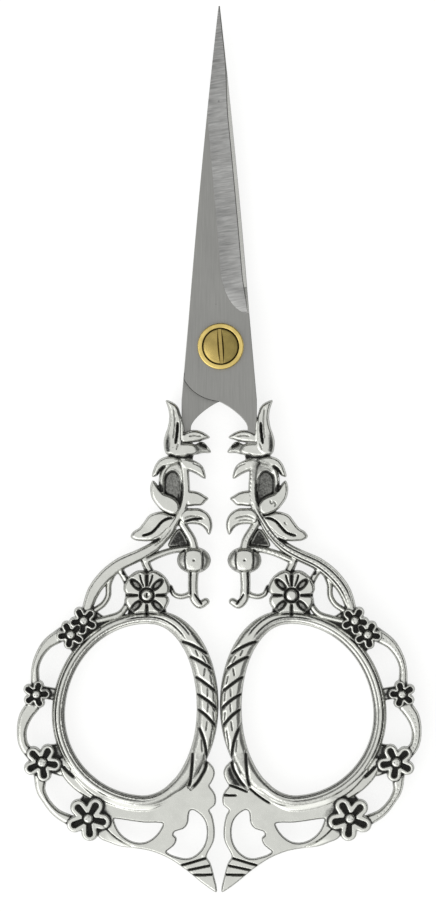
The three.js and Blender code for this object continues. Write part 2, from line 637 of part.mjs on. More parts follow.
function webSolid() {
  const [arcStart, arcEnd] = WEB_ARC;
  const outerFoot = low(WEB_FOOT[WEB_FOOT.length - 1]);
  const tip = low(TAIL_TIP);
  const innerFoot = low(TAIL_INNER);
  const shape = new THREE.Shape();
  shape.moveTo(...fromRing(arcEnd, RING_WIDTH));
  shape.lineTo(...fromRing(FLANGE_AT, RING_WIDTH + FLANGE_WIDTH));
  shape.lineTo(...flowerCentre(FLOWER_E));
  shape.splineThru(WEB_FOOT.map(low));
  shape.quadraticCurveTo(...beside(outerFoot, tip, TAIL_WAIST, TAIL_OUTER_HOLLOW), ...tip);
  shape.quadraticCurveTo(...beside(tip, innerFoot, TAIL_WAIST, TAIL_INNER_BULGE), ...innerFoot);
  shape.bezierCurveTo(...lowNumbers(WEB_SIDE));
  WEB_LOBES.forEach((lobe) => shape.quadraticCurveTo(...lowNumbers(lobe)));
  ringArc(arcStart, arcEnd, () => RING_WIDTH / 2).forEach((point) => shape.lineTo(...point));
  shape.holes.push(halfMoon(), scallopedHole());
  return plate(shape, WEB_HALF_HEIGHT);
}

function handleGeometry() {
  const flowers = [BIG_FLOWER, FLOWER_A, FLOWER_B, FLOWER_C, FLOWER_D, FLOWER_E];
  const leaves = [
    TALL_LEAF, TANG_LEAF, KNOT_LEAF, INNER_CALYX, OUTER_CALYX,
    PLUMP_LEAF, LONG_LEAF, SHORT_LEAF, HANGING_LEAF,
  ];
  const pieces = [
    ringBand(),
    rope(),
    ...flowers.map(flowerSolid),
    ...flowers.map(flowerLink),
    ...BORDERS.map(borderScroll),
    knotSolid(),
    bar(STEM_POINTS, STEM_START_WIDTH, STEM_END_WIDTH, STEM_HALF_HEIGHT),
    ...leaves.map(leafSolid),
    ...leafRecess(),
    ...bellFlower(),
    ...innerScrolls(),
    webSolid(),
  ];
  const casting = pieces.map(toSolid).reduce((sum, solid) => sum.add(solid));
  return toGeometry(casting.subtract(toSolid(bladePocket())));
}

// Pivot pieces, turned about the pivot axis

function turned(profile) {
  const points = profile.map(([radius, height]) => new THREE.Vector2(radius, height));
  return new THREE.LatheGeometry(points, ROUND_STEPS).rotateX(Math.PI / 2);
}

function nutGeometry() {
  const bore = SCREW_RADIUS + THREAD_CLEARANCE;
  const top = FRONT_FACE - BARREL_SHORT;
  return turned([
    [0, 0], [FLANGE_RADIUS - FLANGE_CHAMFER, 0], [FLANGE_RADIUS, FLANGE_CHAMFER],
    [FLANGE_RADIUS, FLANGE_THICKNESS], [BARREL_RADIUS, FLANGE_THICKNESS], [BARREL_RADIUS, top],
    [bore, top], [bore, NUT_FLOOR], [0, NUT_FLOOR],
  ]);
}

function washerGeometry() {
  const hole = SCREW_RADIUS + THREAD_CLEARANCE;
  const cup = HEAD_RADIUS + HEAD_CLEARANCE;
  const floor = WASHER_BASE + WASHER_FLOOR;
  const top = WASHER_BASE + WASHER_THICKNESS;
  return turned([
    [hole, WASHER_BASE], [WASHER_RADIUS, WASHER_BASE], [WASHER_RADIUS, top - WASHER_ROUND],
    [WASHER_RADIUS - WASHER_ROUND, top], [cup, top], [cup, floor], [hole, floor], [hole, WASHER_BASE],
  ]);
}

function screwGeometry() {
  const end = NUT_FLOOR + SCREW_END_GAP;
  const rim = HEAD_BASE + HEAD_EDGE;
  const crown = Array.from({ length: CURVE_STEPS }, (_, i) => {
    const share = (i + 1) / CURVE_STEPS;
    return [HEAD_RADIUS * (1 - share), rim + HEAD_CROWN * (1 - (1 - share) ** 2)];
  });
  const body = turned([
    [0, end], [SCREW_RADIUS, end], [SCREW_RADIUS, HEAD_BASE], [HEAD_RADIUS, HEAD_BASE],
    [HEAD_RADIUS, rim], ...crown,
  ]);
  const slot = new THREE.BoxGeometry(3 * HEAD_RADIUS, SLOT_WIDTH, 2 * SLOT_DEPTH);
  slot.rotateZ(SLOT_TURN).translate(0, 0, rim + HEAD_CROWN);
  return toGeometry(toSolid(body).subtract(toSolid(slot)));
}

// Assembly

function mesh(name, geometry, finish) {
  const piece = new THREE.Mesh(geometry, new THREE.MeshStandardMaterial(finish));
  piece.name = name;
  return piece;
}

const handle = handleGeometry();
const frontHalf = new THREE.Group();
frontHalf.position.set(-PIVOT_SET_OVER, 0, MID_HEIGHT);
frontHalf.add(mesh('front_blade', bladeGeometry(PIVOT_SET_OVER), STEEL));
frontHalf.add(mesh('right_handle', handle, CAST_SILVER));

const rearHalf = new THREE.Group();
rearHalf.position.copy(frontHalf.position);
rearHalf.rotation.y = Math.PI;
rearHalf.add(mesh('rear_blade', bladeGeometry(-PIVOT_SET_OVER), STEEL));
rearHalf.add(mesh('left_handle', handle.clone(), CAST_SILVER));

const scissors = new THREE.Group();
scissors.add(frontHalf, rearHalf);
scissors.add(mesh('barrel_nut', nutGeometry(), BRASS));
scissors.add(mesh('cup_washer', washerGeometry(), BRASS));
scissors.add(mesh('pivot_screw', screwGeometry(), BRASS));

export default scissors;
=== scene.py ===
import math

import bpy
import numpy as np
from bpy.props import FloatProperty, FloatVectorProperty, PointerProperty
from mathutils import Matrix


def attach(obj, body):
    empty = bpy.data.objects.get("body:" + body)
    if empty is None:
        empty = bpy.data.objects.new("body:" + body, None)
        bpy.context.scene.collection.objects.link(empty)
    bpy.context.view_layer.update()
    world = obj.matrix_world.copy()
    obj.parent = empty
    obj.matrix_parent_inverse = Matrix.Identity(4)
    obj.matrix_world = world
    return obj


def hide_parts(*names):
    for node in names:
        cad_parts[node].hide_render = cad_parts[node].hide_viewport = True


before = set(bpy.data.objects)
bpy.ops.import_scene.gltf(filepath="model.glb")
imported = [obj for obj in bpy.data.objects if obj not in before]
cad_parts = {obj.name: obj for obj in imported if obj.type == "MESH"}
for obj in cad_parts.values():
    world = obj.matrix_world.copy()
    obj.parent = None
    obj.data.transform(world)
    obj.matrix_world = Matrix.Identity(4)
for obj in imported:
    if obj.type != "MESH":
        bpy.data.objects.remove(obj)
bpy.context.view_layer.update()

bl_info = {
    "name": "Filigree Embroidery Scissors",
    "version": (1, 0, 0),
    "blender": (4, 5, 0),
    "location": "View3D > Sidebar > Scissors",
    "description": "Embroidery scissors with cast flower handles, hollow-ground blades and a brass pivot",
    "category": "Add Mesh",
}

MM = 0.001


def from_hex(code):
    """Linear colour of an sRGB hex value."""
    levels = [int(code[i:i + 2], 16) / 255 for i in (1, 3, 5)]
    return tuple(v / 12.92 if v <= 0.04045 else ((v + 0.055) / 1.055) ** 2.4 for v in levels)


def size(name, description, millimetres):
    """A length that a user may change, given in millimetres."""
    return FloatProperty(name=name, description=description, default=millimetres * MM,
                         min=0.0, precision=5, subtype="DISTANCE", unit="LENGTH")


def colour(name, description, code):
    """A colour that a user may change, given as an sRGB hex value."""
    return FloatVectorProperty(name=name, description=description, default=from_hex(code),
                               size=3, min=0.0, max=1.0, subtype="COLOR")


class HandleSettings(bpy.types.PropertyGroup):
    """Sizes of the cast handles."""
    ring_drop: size("Ring drop", "Pivot to the middle of the finger ring", 51.9)
    hole_outer: size("Hole, outer side", "Half axis of the finger hole away from the other handle", 11.5)
    hole_inner: size("Hole, inner side", "Half axis of the finger hole towards the other handle", 7.15)
    hole_top: size("Hole, top", "Half axis of the finger hole towards the blades", 12.85)
    hole_bottom: size("Hole, bottom", "Half axis of the finger hole towards the tail", 11.45)
    ring_width: size("Ring width", "Width of the plain band round the finger hole", 1.6)
    rope_width: size("Rope width", "Greatest width of the twisted side of the ring", 3.0)
    half_thickness: size("Half thickness", "Mid plane of the casting to the flowers' rims", 2.15)
    groove_depth: size("Groove depth", "Depth of the chased lines", 0.6)
    mesh_step: size("Mesh step", "Grid on which the casting is worked out", 0.09)


class BladeSettings(bpy.types.PropertyGroup):
    """Sizes of the blades."""
    length: size("Length", "Pivot to point", 48.0)
    thickness: size("Thickness", "Thickness of the flat of a blade", 1.4)
    half_width: size("Half width", "Half the width of a blade at the pivot", 4.6)
    hone_width: size("Honed width", "Width of the honed bevel at the cutting edge", 0.46)
    hollow: size("Hollow", "Depth of the hollow grind below a flat bevel", 0.03)


class PivotSettings(bpy.types.PropertyGroup):
    """Sizes of the brass pivot."""
    washer_radius: size("Washer radius", "Outside radius of the cup washer and of the nut's flange", 3.25)
    head_radius: size("Head radius", "Radius of the screw head", 2.48)
    slot_width: size("Slot width", "Width of the screwdriver slot", 0.75)
    slot_turn: FloatProperty(name="Slot turn", description="Turn of the screwdriver slot from the X axis",
                             default=math.radians(94), subtype="ANGLE", unit="ROTATION")


class FinishSettings(bpy.types.PropertyGroup):
    """Colours of the metals."""
    silver: colour("Silver plate", "Silver plate on the high places of the castings", "#CFD0CA")
    oxide: colour("Oxide", "Blackened silver in the recesses", "#171713")
    steel: colour("Brushed steel", "Flat faces of the blades", "#8F8F8C")
    # The ground and honed bevels are paler copies of the steel: partly their finish, partly painted
    # reflection of brighter light.
    ground: colour("Ground steel", "Hollow-ground bevel", "#C4C4C2")
    honed: colour("Honed steel", "Honed bevel at the cutting edge", "#B8B8B4")
    # painted shade: a dark line where the honed bevel begins, for the shade at the step there
    step_shade: colour("Shadowline", "Dark line where the honed bevel begins", "#70706D")
    # painted shadow: the dark colour of the heel's slanted faces, for the shadow line where one blade's
    # heel lies over the other
    heel: colour("Heel", "Shadowed corner of the heel", "#343432")
    brass: colour("Brass", "Turned brass of the screw", "#AC985C")
    # painted light: a paler copy of the screw's brass, for the brighter light on the washer and the nut
    flange: colour("Flange brass", "Turned brass of the washer and the nut, handled less", "#DCC479")
    # painted shade: a darker copy of the brass, for the shade on the screw head's half right of the slot
    tarnish: colour("Shaded brass", "Duller half of the screw's head", "#968650")
    # painted shade: near-black brass in the slot and in the gaps round the head of the screw
    gap_shade: colour("Shading", "Shadows in the slot and round the head of the screw", "#3A3018")


# Sizes that hold for the whole object or for all castings, in millimetres

MID_HEIGHT = 2.2  # table to the plane between the blades
PIVOT_SET_OVER = 0.2  # pivot to the plane on which the handles mirror
BLADE_GAP = 0.04
FILLET = 0.12  # rounding where two cast forms meet
SHOULDER = 1.5  # shape of a cast edge: 1 is a chamfer, 2 a quarter round
DRAFT = 0.05  # how far a cast side leans in for each unit of height, so that it leaves the mould
CORNER_FILL = 0.01  # how far inside the metal a filled corner of the grid lies
SEAM = 0.07  # how far the seam of the mould's two halves stands proud
SEAM_SPREAD = 0.13  # half the width of that seam
THINNEST = 0.35  # half the thickness that the deepest cut leaves
BARE_EDGE = 0.2  # metal with less than this half thickness isn't counted as part of a face
WHOLE = 0.003  # a cut shallower than this leaves the cast face as it is
# radius looked over round a place, and how far below what is there black begins and is full
RECESSES = ((0.3, 0.05, 0.22), (0.8, 0.25, 0.65))
HAIRLINE = (0.27, 0.2, 0.5)  # width, depth and black of the finest chased lines
PUNCH = 0.02  # half the length of a punched dot's line

# Lines and outlines, in millimetres


def smooth_line(points, step=0.12, closed=False):
    """Even points along a smooth curve through some places, and each one's place in the list."""
    p = np.asarray(points, float)
    if closed:
        p = np.vstack([p[-1:], p, p[:2]])
    else:
        p = np.vstack([2 * p[:1] - p[1:2], p, 2 * p[-1:] - p[-2:-1]])
    u = np.linspace(0, 1, 17)[:-1, None]
    spots, order = [], []
    for i in range(1, len(p) - 2):
        a, b, c, d = p[i - 1:i + 3]
        before, here, after = (max(np.hypot(*(t - s)), 1e-6) ** 0.5 for s, t in ((a, b), (b, c), (c, d)))
        start = ((b - a) / before - (c - a) / (before + here) + (c - b) / here) * here
        end = ((c - b) / here - (d - b) / (here + after) + (d - c) / after) * here
        spots.append(b + start * u + (3 * (c - b) - 2 * start - end) * u ** 2
                     + (2 * (b - c) + start + end) * u ** 3)
        order.append(i - 1 + u[:, 0])
    spots = np.vstack(spots + [p[-2:-1]])
    order = np.append(np.concatenate(order), len(p) - 3)
    way = np.append(0, np.cumsum(np.hypot(*np.diff(spots, axis=0).T)))
    even = np.linspace(0, way[-1], max(int(way[-1] / step), 8) + 1)
    line = np.stack([np.interp(even, way, spots[:, k]) for k in (0, 1)], axis=1)
    return line, np.interp(even, way, order)


def distance_to(x, y, line):
    """Distance of each place from a line of points, and the share of the line at the nearest point."""
    gap = np.full(x.shape, np.inf)
    share = np.zeros(x.shape)
    lengths = np.hypot(*np.diff(line, axis=0).T)
    done = np.append(0, np.cumsum(lengths))
    for (ax, ay), (bx, by), length, way in zip(line[:-1], line[1:], lengths, done):
        t = np.clip(((x - ax) * (bx - ax) + (y - ay) * (by - ay)) / max(length ** 2, 1e-9), 0, 1)
        d = np.hypot(x - ax - t * (bx - ax), y - ay - t * (by - ay))
        near = d < gap
        gap[near] = d[near]
        share[near] = (way + t[near] * length) / done[-1]
    return gap, share


def reach_inside(x, y, outline):
    """How far each place lies inside a closed outline. It is negative outside."""
    ring = np.vstack([outline, outline[:1]])
    gap = distance_to(x, y, ring)[0]
    within = np.zeros(x.shape, bool)
    for (ax, ay), (bx, by) in zip(ring[:-1], ring[1:]):
        if ay != by:
            within ^= ((ay > y) != (by > y)) & (x < ax + (bx - ax) * (y - ay) / (by - ay))
    return np.where(within, gap, -gap)


def soft_step(low, high, value):
    """0 below low, 1 above high, and a smooth rise between them."""
    t = np.clip((value - low) / (high - low), 0, 1)
    return t * t * (3 - 2 * t)


def blur(grid, radius):
    """A grid smoothed over a radius given in cells."""
    reach = int(3 * radius)
    weights = np.exp(-0.5 * (np.arange(-reach, reach + 1) / radius) ** 2)
    weights /= weights.sum()
    for axis in (0, 1):
        grid = sum(w * np.roll(grid, k - reach, axis) for k, w in enumerate(weights))
    return grid


FRONT_FACE, BACK_FACE, BOTH_FACES = 0, 1, slice(0, 2)


class Casting:
    """One handle, worked out on a grid as its mould was. Forms are added, which are alike on both faces,
    and lines are cut into one face or both. Places are in millimetres from the mirror plane, the pivot and
    the mid plane."""

    def __init__(self, low, high, step):
        self.step = step
        self.axes = [np.arange(a, b + step, step) for a, b in zip(low, high)]
        self.x, self.y = np.meshgrid(self.axes[0], self.axes[1], indexing="ij")
        self.metal = np.full([len(axis) for axis in self.axes], -1.0, np.float32)
        self.cut = np.zeros((2, *self.x.shape))
        # the black dip on each face, and painted shade
        self.black_and_shade = np.zeros((2, *self.x.shape))
        # painted highlights
        self.shine = np.zeros(self.x.shape)

    def area(self, points, margin):
        """The part of the grid round some points."""
        low, high = np.min(points, axis=0) - margin, np.max(points, axis=0) + margin
        return tuple(slice(*np.searchsorted(self.axes[k], [low[k], high[k]])) for k in (0, 1))

    def add(self, area, reach, height, rounding):
        """Adds a form of a given half height whose outline lies reach away from each place."""
        height, rounding = (np.broadcast_to(v, reach.shape)[..., None] for v in (height, rounding))
        off_seam = np.abs(self.axes[2])
        seam = SEAM * np.exp(-(off_seam / SEAM_SPREAD) ** 2)
        side = rounding - reach[..., None] + DRAFT * off_seam - seam
        rise = off_seam - (height - rounding)
        edge = np.maximum(side, 0) ** SHOULDER + np.maximum(rise, 0) ** SHOULDER
        form = rounding - edge ** (1 / SHOULDER) - np.minimum(np.maximum(side, rise), 0)
        old = self.metal[area]
        meeting = np.maximum(FILLET - np.abs(old - form), 0)
        self.metal[area] = np.maximum(old, form) + meeting ** 2 / (4 * FILLET)

    def bar(self, points, widths, heights, rounding=0.45):
        """Adds a bar along a smooth line. Widths and half heights are spread along it."""
        line, order = smooth_line(points)
        area = self.area(line, max(widths))
        gap, share = distance_to(self.x[area], self.y[area], line)
        place = np.interp(share, np.linspace(0, 1, len(order)), order / (len(points) - 1))
        width = np.interp(place, np.linspace(0, 1, len(widths)), widths)
        height = np.interp(place, np.linspace(0, 1, len(heights)), heights)
        if np.ndim(rounding):
            rounding = np.interp(place, np.linspace(0, 1, len(rounding)), rounding)
        self.add(area, width / 2 - gap, height, rounding)

    def leaf(self, outline, foot_height, tip_height, rounding=0.33):
        """Adds a leaf by its outline, which starts at the tip."""
        ring = smooth_line(outline, closed=True)[0]
        area = self.area(ring, 0.5)
        x, y = self.x[area], self.y[area]
        from_tip = np.hypot(x - outline[0][0], y - outline[0][1])
        share = np.clip(from_tip / np.hypot(*(ring - outline[0]).T).max(), 0, 1)
        self.add(area, reach_inside(x, y, ring), tip_height + (foot_height - tip_height) * share, rounding)

    def groove(self, points, width, depth, black=0.0, faces=BOTH_FACES):
        """Cuts a line that fades out at its ends, and blackens it."""
        line = smooth_line(points)[0]
        area = self.area(line, width)
        gap, share = distance_to(self.x[area], self.y[area], line)
        fade = 0.35 + 0.65 * soft_step(0, 0.12, share) * soft_step(0, 0.12, 1 - share)
        print_of_tool = fade * soft_step(0, 0.75, 1 - gap / (width / 2))
        self.sink(area, depth * print_of_tool, faces)
        self.darken(area, black * print_of_tool, faces)

    def blacken(self, outline, amount, softness, faces=BOTH_FACES):
        """Blackens inside an outline. Most outlines keep some of the black dip; a few are painted shade."""
        ring = smooth_line(outline, closed=True)[0]
        area = self.area(ring, 0.1)
        inside = soft_step(0, softness, reach_inside(self.x[area], self.y[area], ring))
        self.darken(area, amount * inside, faces)

    def paint_highlight(self, points, width):
        """Paints a bright line on both faces: a painted highlight."""
        line = smooth_line(points)[0]
        area = self.area(line, width)
        gap, share = distance_to(self.x[area], self.y[area], line)
        fade = soft_step(0, 0.2, share) * soft_step(0, 0.2, 1 - share)
        painted_highlight = fade * soft_step(0, 0.6, 1 - gap / (width / 2))
        self.shine[area] = np.maximum(self.shine[area], painted_highlight)

    def sink(self, area, depth, faces=BOTH_FACES):
        """Cuts to a depth where nothing deeper is cut."""
        self.cut[(faces, *area)] = np.maximum(self.cut[(faces, *area)], depth)

    def darken(self, area, amount, faces=BOTH_FACES):
        """Blackens where nothing is blacker."""
        self.black_and_shade[(faces, *area)] = np.maximum(self.black_and_shade[(faces, *area)], amount)

    def finished(self):
        """The cut metal as a field on the grid, and how black each place of each face is: 1 is black, and
        -1 is a painted highlight."""
        front = self.axes[2] > 0
        top = np.clip(self.metal[:, :, front] / self.step + 0.5, 0, 1).sum(axis=2) * self.step
        metal = (top > BARE_EDGE).astype(float)
        field = self.metal.copy()
        blacks = []
        for cut, black_and_shade, half in zip(self.cut, self.black_and_shade, (front, ~front)):
            face = np.maximum(top - cut, np.minimum(top, THINNEST))
            level = face[..., None] - np.abs(self.axes[2][half])
            whole = (top - face < WHOLE)[..., None]
            field[:, :, half] = np.where(whole, field[:, :, half], np.minimum(field[:, :, half], level))
            black = black_and_shade
            for radius, low, high in RECESSES:
                cells = radius / self.step
                around = blur(face * metal, cells) / np.maximum(blur(metal, cells), 1e-3)
                black = np.maximum(black, soft_step(low, high, around - face) * metal)
            blacks.append(black - self.shine)
        return field, blacks


def join_corners(field):
    """Joins metal that would touch itself along an edge of the grid only, and fills pits and bubbles of a
    cell or two, so that its surface closes cleanly."""
    touching = True
    while touching:
        solid = field > 0
        open_sides = np.zeros(field.shape, np.int8)
        for axis in range(3):
            cells, empty = np.moveaxis(open_sides, axis, 0), np.moveaxis(~solid, axis, 0)
            cells[1:] += empty[:-1]
            cells[:-1] += empty[1:]
        pits = ~solid & (open_sides < 2)
        field[pits] = CORNER_FILL
        solid |= pits
        touching = pits.any()
        for axis in range(3):
            corners = []
            for i, j in ((0, 0), (0, 1), (1, 1), (1, 0)):
                window = [slice(i, field.shape[k] - 1 + i) for k in range(3)]
                window[(axis + 1) % 3] = slice(j, field.shape[(axis + 1) % 3] - 1 + j)
                window[axis] = slice(None)
                corners.append(tuple(window))
            a, b, c, d = (solid[corner] for corner in corners)
            crossed = (a == c) & (b == d) & (a != b)
            touching = touching or crossed.any()
            for corner in corners:
                field[corner][crossed & ~solid[corner]] = CORNER_FILL


def surface_of(field, axes):
    """Points and four-sided faces where a field on a grid passes zero, with one point to a cell."""
    solid = field > 0
    shape = np.array(field.shape) - 1
    corners = np.array([(i, j, k) for i in (0, 1) for j in (0, 1) for k in (0, 1)])
    windows = [tuple(slice(c, c + s) for c, s in zip(corner, shape)) for corner in corners]
    filled = sum(solid[window].astype(np.int8) for window in windows)
    cells = np.argwhere((filled > 0) & (filled < 8))
    number = np.full(shape, -1)
    number[tuple(cells.T)] = np.arange(len(cells))
    values = np.stack([field[tuple((cells + corner).T)] for corner in corners], axis=1)
    total, hits = np.zeros((len(cells), 3)), np.zeros((len(cells), 1))
    for a in range(8):
        for b in range(a + 1, 8):
            crossed = (values[:, a] > 0) != (values[:, b] > 0)
            if np.abs(corners[a] - corners[b]).sum() == 1:
                t = values[crossed, a] / (values[crossed, a] - values[crossed, b])
                total[crossed] += corners[a] + (corners[b] - corners[a]) * t[:, None]
                hits[crossed] += 1
    points = np.array([axis[0] for axis in axes]) + (cells + total / hits) * (axes[0][1] - axes[0][0])
    faces = []
    for axis in range(3):
        step, u, v = (np.roll(np.array([1, 0, 0]), axis + turn) for turn in range(3))
        near, far = (tuple(slice(1, s) if k != axis else slice(e, e + s) for k, s in enumerate(shape))
                     for e in (0, 1))
        start = np.where(step == 1, 0, 1)
        for outward in (True, False):
            p = np.argwhere((solid[near] > solid[far]) if outward else (solid[near] < solid[far])) + start
            quad = [number[tuple((p - shift).T)] for shift in (u + v, v, 0 * u, u)]
            faces.append(np.stack(quad if outward else quad[::-1], axis=1))
    return points, np.vstack(faces)


def at_grid(grid, casting, points):
    """Values of a grid at points, between its cells."""
    i, f = [], []
    for k in (0, 1):
        place = np.clip((points[:, k] - casting.axes[k][0]) / casting.step, 0, grid.shape[k] - 1.001)
        i.append(place.astype(int))
        f.append(place - i[k])
    near = grid[i[0], i[1]] * (1 - f[1]) + grid[i[0], i[1] + 1] * f[1]
    far = grid[i[0] + 1, i[1]] * (1 - f[1]) + grid[i[0] + 1, i[1] + 1] * f[1]
    return near * (1 - f[0]) + far * f[0]


# Places on the right handle, in millimetres from the mirror plane and from the pivot

STEM = [
    (5.05, -15.72), (4.72, -18.82), (4.72, -21.22), (5.16, -22.91), (6.11, -24.60), (7.37, -26.51),
    (9.14, -28.20), (11.39, -29.47), (13.93, -30.67), (16.05, -32.36), (17.74, -34.62), (19.08, -38.63)]
STEM_WIDTHS = [1.0, 1.0, 1.05, 1.05, 1.05, 1.2, 1.45, 1.6, 1.75, 1.8, 1.7, 1.2]

TALL_LEAF = [
    (7.49, -7.61), (7.30, -8.25), (7.09, -9.02), (6.99, -9.80), (7.05, -10.65), (7.23, -11.49),
    (7.53, -12.34), (7.75, -13.18), (7.75, -14.03), (7.44, -15.09), (6.32, -15.30), (5.33, -14.45),
    (5.05, -13.18), (4.95, -12.06), (5.05, -11.07), (5.26, -10.29), (5.57, -9.31), (5.82, -8.60),
    (6.46, -7.97)]
TANG_LEAF = [
    (1.35, -12.83), (1.88, -12.34), (2.51, -12.01), (3.21, -11.82), (3.92, -11.84), (4.62, -12.06),
    (5.40, -12.69), (5.26, -13.51), (3.92, -13.51), (2.93, -13.37), (2.09, -13.11)]
KNOT_LEAF = [
    (1.21, -14.90), (1.66, -14.10), (2.30, -13.49), (3.07, -13.68), (3.78, -14.31), (3.36, -15.16),
    (2.37, -14.99)]
KNOT = [
    (2.86, -14.52), (3.43, -13.86), (4.48, -13.61), (5.75, -13.68), (6.88, -14.03), (7.37, -14.73),
    (6.74, -15.44), (5.19, -15.55), (3.78, -15.30), (3.07, -15.02)]
INNER_CALYX = [
    (1.97, -18.61), (2.03, -17.77), (2.37, -16.92), (3.00, -16.36), (3.92, -15.98), (5.05, -15.83),
    (5.61, -16.29), (5.05, -17.20), (4.13, -17.55), (3.21, -17.98)]
OUTER_CALYX = [
    (9.42, -18.33), (9.22, -17.34), (8.80, -16.43), (8.22, -15.86), (7.16, -15.51), (6.18, -15.62),
    (5.47, -16.07), (6.18, -16.64), (7.30, -16.92), (8.15, -17.41), (8.78, -18.19)]
PLUMP_LEAF = [
    (9.35, -18.94), (9.66, -19.67), (9.66, -20.52), (9.42, -21.43), (8.85, -22.28), (8.22, -22.98),
    (7.30, -23.48), (6.32, -23.72), (5.68, -23.26), (5.58, -22.28), (6.03, -21.57), (6.88, -21.05),
    (7.80, -20.66), (8.47, -19.95), (8.93, -19.25)]
LONG_LEAF = [
    (12.45, -26.79), (12.03, -26.08), (11.32, -25.66), (10.62, -24.82), (9.91, -23.87), (9.00, -23.43),
    (8.01, -23.34), (6.88, -23.73), (6.03, -24.04), (6.25, -24.67), (6.88, -25.59), (7.80, -26.51),
    (8.78, -27.17), (9.84, -27.40), (10.97, -27.40), (11.82, -27.28)]
SHORT_LEAF = [
    (1.55, -21.43), (2.16, -20.98), (2.79, -20.61), (3.57, -20.40), (4.41, -20.44), (4.70, -21.50),
    (4.41, -22.42), (3.36, -22.39), (2.44, -22.32), (1.95, -21.85)]
HANGING_LEAF = [
    (1.42, -26.51), (1.10, -25.87), (1.00, -25.10), (1.24, -24.08), (1.80, -23.38), (2.65, -22.91),
    (3.71, -22.84), (4.70, -22.91), (5.54, -23.90), (5.12, -24.91), (3.92, -24.99), (2.93, -25.10),
    (2.16, -25.52)]
POCKET = [
    (6.03, -17.27), (7.30, -17.55), (7.73, -18.54), (7.80, -19.95), (7.44, -20.80), (6.32, -21.36),
    (5.54, -22.35), (5.05, -21.22), (5.12, -19.25), (5.47, -18.12)]
POCKET_BAR = [
    (6.03, -16.29), (7.02, -16.68), (7.73, -17.48), (8.05, -18.54), (8.07, -19.67), (8.07, -20.66)]
NECK = [(3.78, -14.73), (5.47, -14.59), (7.16, -14.88), (7.02, -15.86), (5.47, -16.43), (3.92, -16.14)]
POCKET_ROOF = [
    (4.62, -16.14), (6.03, -15.79), (7.16, -16.29), (7.87, -17.41), (7.16, -17.84), (6.32, -17.48),
    (5.61, -18.12), (5.19, -19.39), (4.62, -19.11)]
ARCH = [(5.37, -20.23), (5.44, -18.68), (5.96, -17.62), (6.74, -17.34), (7.52, -17.84)]
PETIOLE = [(5.40, -24.75), (4.55, -26.01), (3.85, -27.21), (3.50, -28.55)]
BELL_RECESS = [
    (5.61, -25.73), (4.62, -27.14), (4.20, -28.27), (5.47, -28.20), (7.16, -28.13), (6.88, -27.28)]
BRANCH = [(3.78, -28.48), (5.47, -28.55), (7.16, -28.90), (8.71, -29.47), (10.26, -30.24)]
BELL = np.array((3.57, -30.13))
PISTIL = [(3.57, -30.95), (3.68, -32.64), (3.68, -34.33), (3.43, -35.67), (2.72, -36.38), (1.88, -35.95)]
CURL = [(3.78, -34.62), (4.62, -35.11), (5.61, -35.25), (6.39, -34.90), (6.88, -33.91)]
STRUT = [(9.70, -31.94), (10.19, -30.95), (10.55, -29.96)]

BIG_FLOWER = (10.19, -35.04)
FLOWERS = [  # centre, radius and degrees of turn
    ((19.08, -38.63), 2.0, -10), ((20.91, -40.61), 2.0, -8), ((25.77, -49.00), 1.93, 33),
    ((24.93, -58.59), 2.65, 45), ((18.44, -66.48), 3.1, 48),
]

OUTER_SCROLL = [
    (14.07, -31.37), (13.16, -32.92), (12.80, -34.47), (12.97, -36.31), (13.93, -37.65), (15.62, -38.28),
    (17.46, -38.70)]
INNER_SCROLL = [(14.92, -31.94), (15.55, -33.49), (15.67, -35.18), (16.33, -36.31), (17.74, -37.29)]
BORDERS = [  # line, and widths along it
    ([(22.11, -40.54), (24.15, -41.88), (25.35, -43.57), (25.89, -45.19), (25.92, -47.59)],
     [1.95, 1.45, 1.1, 1.0, 1.2]),
    ([(26.06, -50.41), (27.33, -52.24), (27.82, -54.21), (27.54, -56.19), (26.20, -57.88)],
     [1.9, 1.75, 1.3, 1.25, 1.5]),
    ([(25.21, -60.56), (25.14, -62.53), (24.36, -64.08), (22.95, -65.71), (20.84, -66.90)],
     [1.8, 1.2, 0.95, 1.1, 1.5]),
]
LINKS = [  # line and width
    ([(17.74, -38.28), (16.89, -38.85)], 2.0), ([(18.72, -39.97), (18.16, -40.68)], 2.2),
    ([(20.42, -41.81), (19.85, -42.51)], 2.0), ([(24.93, -48.72), (23.38, -49.00)], 1.7),
    ([(23.52, -57.32), (22.53, -57.18)], 2.4), ([(23.52, -59.01), (22.25, -59.43)], 2.2),
    ([(17.03, -65.07), (16.19, -64.23)], 2.6), ([(19.01, -64.79), (18.30, -63.94)], 2.2),
    ([(8.57, -36.59), (8.29, -37.72)], 1.8), ([(11.67, -36.87), (11.96, -37.72)], 1.8),
    ([(10.19, -37.15), (10.19, -37.72)], 2.0),
]
FLANGE = [(22.25, -58.44), (21.40, -60.21), (20.06, -61.69), (18.44, -62.89), (16.75, -63.80)]

